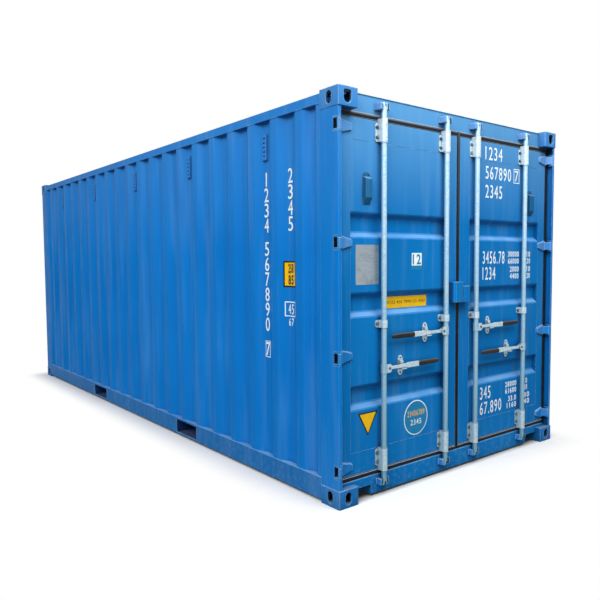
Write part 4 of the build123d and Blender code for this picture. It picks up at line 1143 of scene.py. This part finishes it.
# %% [markdown]
# The floor is laid in sheets of plywood across the box, with a steel strip down the middle, and
# screwed down in rows. Each sheet is cut like any other flat piece, and Geometry Nodes set one screw
# on each point of a grid. The CAD slab stays for the physics, and the sheets replace it to the eye.

# %% Floor sheets
slab_low, slab_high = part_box("floor")
slab_thickness = slab_high.z - slab_low.z
slab_plane = (Vector((0, 0, slab_low.z)), Vector((1, 0, 0)), Vector((0, 1, 0)))
strip_width = 50 * mm
strip_drop = 0.5 * mm
sheet_gap = 2 * mm
sheet_rows = 5
sheet_length = (slab_high.y - slab_low.y) / sheet_rows
sheet_width = (slab_high.x - slab_low.x - strip_width) / 2
boards = []
for row in range(sheet_rows):
    y0 = slab_low.y + row * sheet_length + sheet_gap / 2
    for x0 in (slab_low.x, strip_width / 2 + sheet_gap):
        outline = rectangle(x0, x0 + sheet_width - sheet_gap, y0, y0 + sheet_length - sheet_gap)
        boards.append(sheet_piece("board", outline, slab_plane, slab_thickness, 1.2 * mm, plywood))
outline = rectangle(-strip_width / 2 + sheet_gap, strip_width / 2, slab_low.y, slab_high.y)
boards.append(sheet_piece("strip", outline, slab_plane, slab_thickness - strip_drop, 0.8 * mm, blue_paint))
floor_sheets = joined("floor_sheets", boards)
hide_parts("floor")
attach(floor_sheets, "box")
print(len(boards) - 1, "sheets and a strip")

# %% Floor screws
screw_rows = 17
screw_columns = 5
end_margin = 80 * mm
side_margin = 50 * mm
row_step = (slab_high.y - slab_low.y - 2 * end_margin) / (screw_rows - 1)
column_step = (sheet_width - 2 * side_margin) / (screw_columns - 1)
places = [(x0 + side_margin + column * column_step, slab_low.y + end_margin + row * row_step,
           slab_high.z - 0.5 * mm)
          for row in range(screw_rows) for x0 in (slab_low.x, strip_width / 2)
          for column in range(screw_columns)]
fasteners("floor_screws", "box", places, (5.5, 0.6), (5, 0.5), round_sided, to_the_sky, 11, bright_zinc)

# %% [markdown]
# The light is an overcast sky, pale all round and brighter overhead, with two soft lamps. One stands
# high over the door end, so that ledges shine and the undersides of the hinges and recesses go dark.
# The other comes from the left and the door side, and falls across the side wall, so that one slope
# of each trough is lit and the other is in shade. What the camera, a reflection or glass sees past
# the object is plain white.

# %% Sky and lamps
def seen_rays(tree):
    """White for the rays of the camera, of reflections and through glass."""
    seen = add(tree, "ShaderNodeLightPath", out="Is Camera Ray")
    for kind in ("Is Glossy Ray", "Is Transmission Ray"):
        seen = add(tree, "ShaderNodeMath", {0: seen, 1: add(tree, "ShaderNodeLightPath", out=kind)},
                   operation="MAXIMUM")
    return seen


def softbox(name, place, target, size, watts):
    """A square lamp that looks at a point."""
    lamp = bpy.data.lights.new(name, "AREA")
    lamp.size = size
    lamp.energy = watts
    holder = bpy.data.objects.new(name, lamp)
    bpy.context.scene.collection.objects.link(holder)
    holder.location = place
    holder.rotation_euler = (Vector(target) - Vector(place)).to_track_quat("-Z", "Y").to_euler()


horizon_strength = 0.42
zenith_strength = 0.75
world = bpy.data.worlds.new("sky")
bpy.context.scene.world = world
world.use_nodes = True
sky = world.node_tree
sky.nodes.clear()
direction = add(sky, "ShaderNodeNewGeometry", out="Normal")
upward = add(sky, "ShaderNodeSeparateXYZ", {"Vector": direction}, out="Z")
glow = add(sky, "ShaderNodeMapRange", {"Value": upward, "From Min": 0.0, "From Max": 1.0,
                                       "To Min": horizon_strength, "To Max": zenith_strength})
strength = add(sky, "ShaderNodeMix", {"Factor": seen_rays(sky), "A": glow, "B": 1.0})
backdrop = add(sky, "ShaderNodeBackground", {"Color": "ffffff", "Strength": strength})
add(sky, "ShaderNodeOutputWorld", {"Surface": backdrop})
bpy.context.scene.view_settings.view_transform = "Standard"
softbox("door_softbox", (-0.7, -5.4, 5.6), (-0.4, -3.0, 2.2), 3.0, 220)
softbox("side_softbox", (-9.5, -6.0, 8.5), (-1.2, 0.3, 1.4), 6.0, 970)
print("sky and", len(bpy.data.lights), "lamps")

# %% [markdown]
# The floor is pale concrete, but a photograph cut out on white has no floor to speak of. So close to
# the box it is concrete, with the shadow that the box casts, and within a third of a metre it fades
# to plain white, for the rays that see it. The rays that only carry light meet a darker floor, which
# keeps the sheet near the ground from glowing. Beneath the box the floor is dark, and it lets a third
# of those rays through to the sky, so that the underframe isn't black. From below it isn't there.

# %% Studio floor
floor_half = 60
floor_mesh = bpy.data.meshes.new("studio_floor")
floor_mesh.from_pydata([(x, y, 0) for x, y in rectangle(-floor_half, floor_half, -floor_half, floor_half)],
                       [], [(0, 1, 2, 3)])
concrete, tree, shader, point = new_material("studio_floor", 0.85)
seen = seen_rays(tree)
unseen = add(tree, "ShaderNodeMath", {0: 1.0, 1: seen}, operation="SUBTRACT")
past_box = add(tree, "ShaderNodeVectorMath", {0: point}, operation="ABSOLUTE")
past_box = add(tree, "ShaderNodeVectorMath", {0: past_box, 1: cad_bounds[1]}, operation="SUBTRACT")
past_sides = add(tree, "ShaderNodeSeparateXYZ", {"Vector": past_box}, out="X")
past_ends = add(tree, "ShaderNodeSeparateXYZ", {"Vector": past_box}, out="Y")
nearest = add(tree, "ShaderNodeMath", {0: past_sides, 1: past_ends}, operation="MAXIMUM")
# Beneath the box the floor is painted dark: a painted shadow.
under = add(tree, "ShaderNodeMapRange", {"Value": nearest, "From Min": 0.0, "From Max": -0.1})
lay_on(tree, shader, "e9e9e8",
       [(patches(tree, point, 900), "f2f2f1"), (under, "17181b"), (unseen, "6c6c6a")])

outside = add(tree, "ShaderNodeVectorMath", {0: past_box, 1: (0, 0, 0)}, operation="MAXIMUM")
away = add(tree, "ShaderNodeVectorMath", {0: outside}, out="Value", operation="LENGTH")
bare = add(tree, "ShaderNodeMapRange", {"Value": away, "From Min": -0.02, "From Max": 0.3},
           interpolation_type="SMOOTHSTEP")
white_share = add(tree, "ShaderNodeMath", {0: bare, 1: seen}, operation="MULTIPLY")
plain_white = add(tree, "ShaderNodeEmission", {"Color": "ffffff", "Strength": 1.0})
surface = add(tree, "ShaderNodeMixShader", {0: white_share, 1: shader.outputs[0], 2: plain_white})
from_below = add(tree, "ShaderNodeNewGeometry", out="Backfacing")
let_in = add(tree, "ShaderNodeMath", {0: unseen, 1: under}, operation="MULTIPLY")
let_in = add(tree, "ShaderNodeMath", {0: let_in, 1: 0.35, 2: from_below}, operation="MULTIPLY_ADD",
             use_clamp=True)
see_through = add(tree, "ShaderNodeBsdfTransparent")
surface = add(tree, "ShaderNodeMixShader", {0: let_in, 1: surface, 2: see_through})
tree.links.new(surface, tree.nodes["Material Output"].inputs["Surface"])
new_object("studio_floor", floor_mesh, concrete)
print("studio floor", 2 * floor_half, "metres wide")
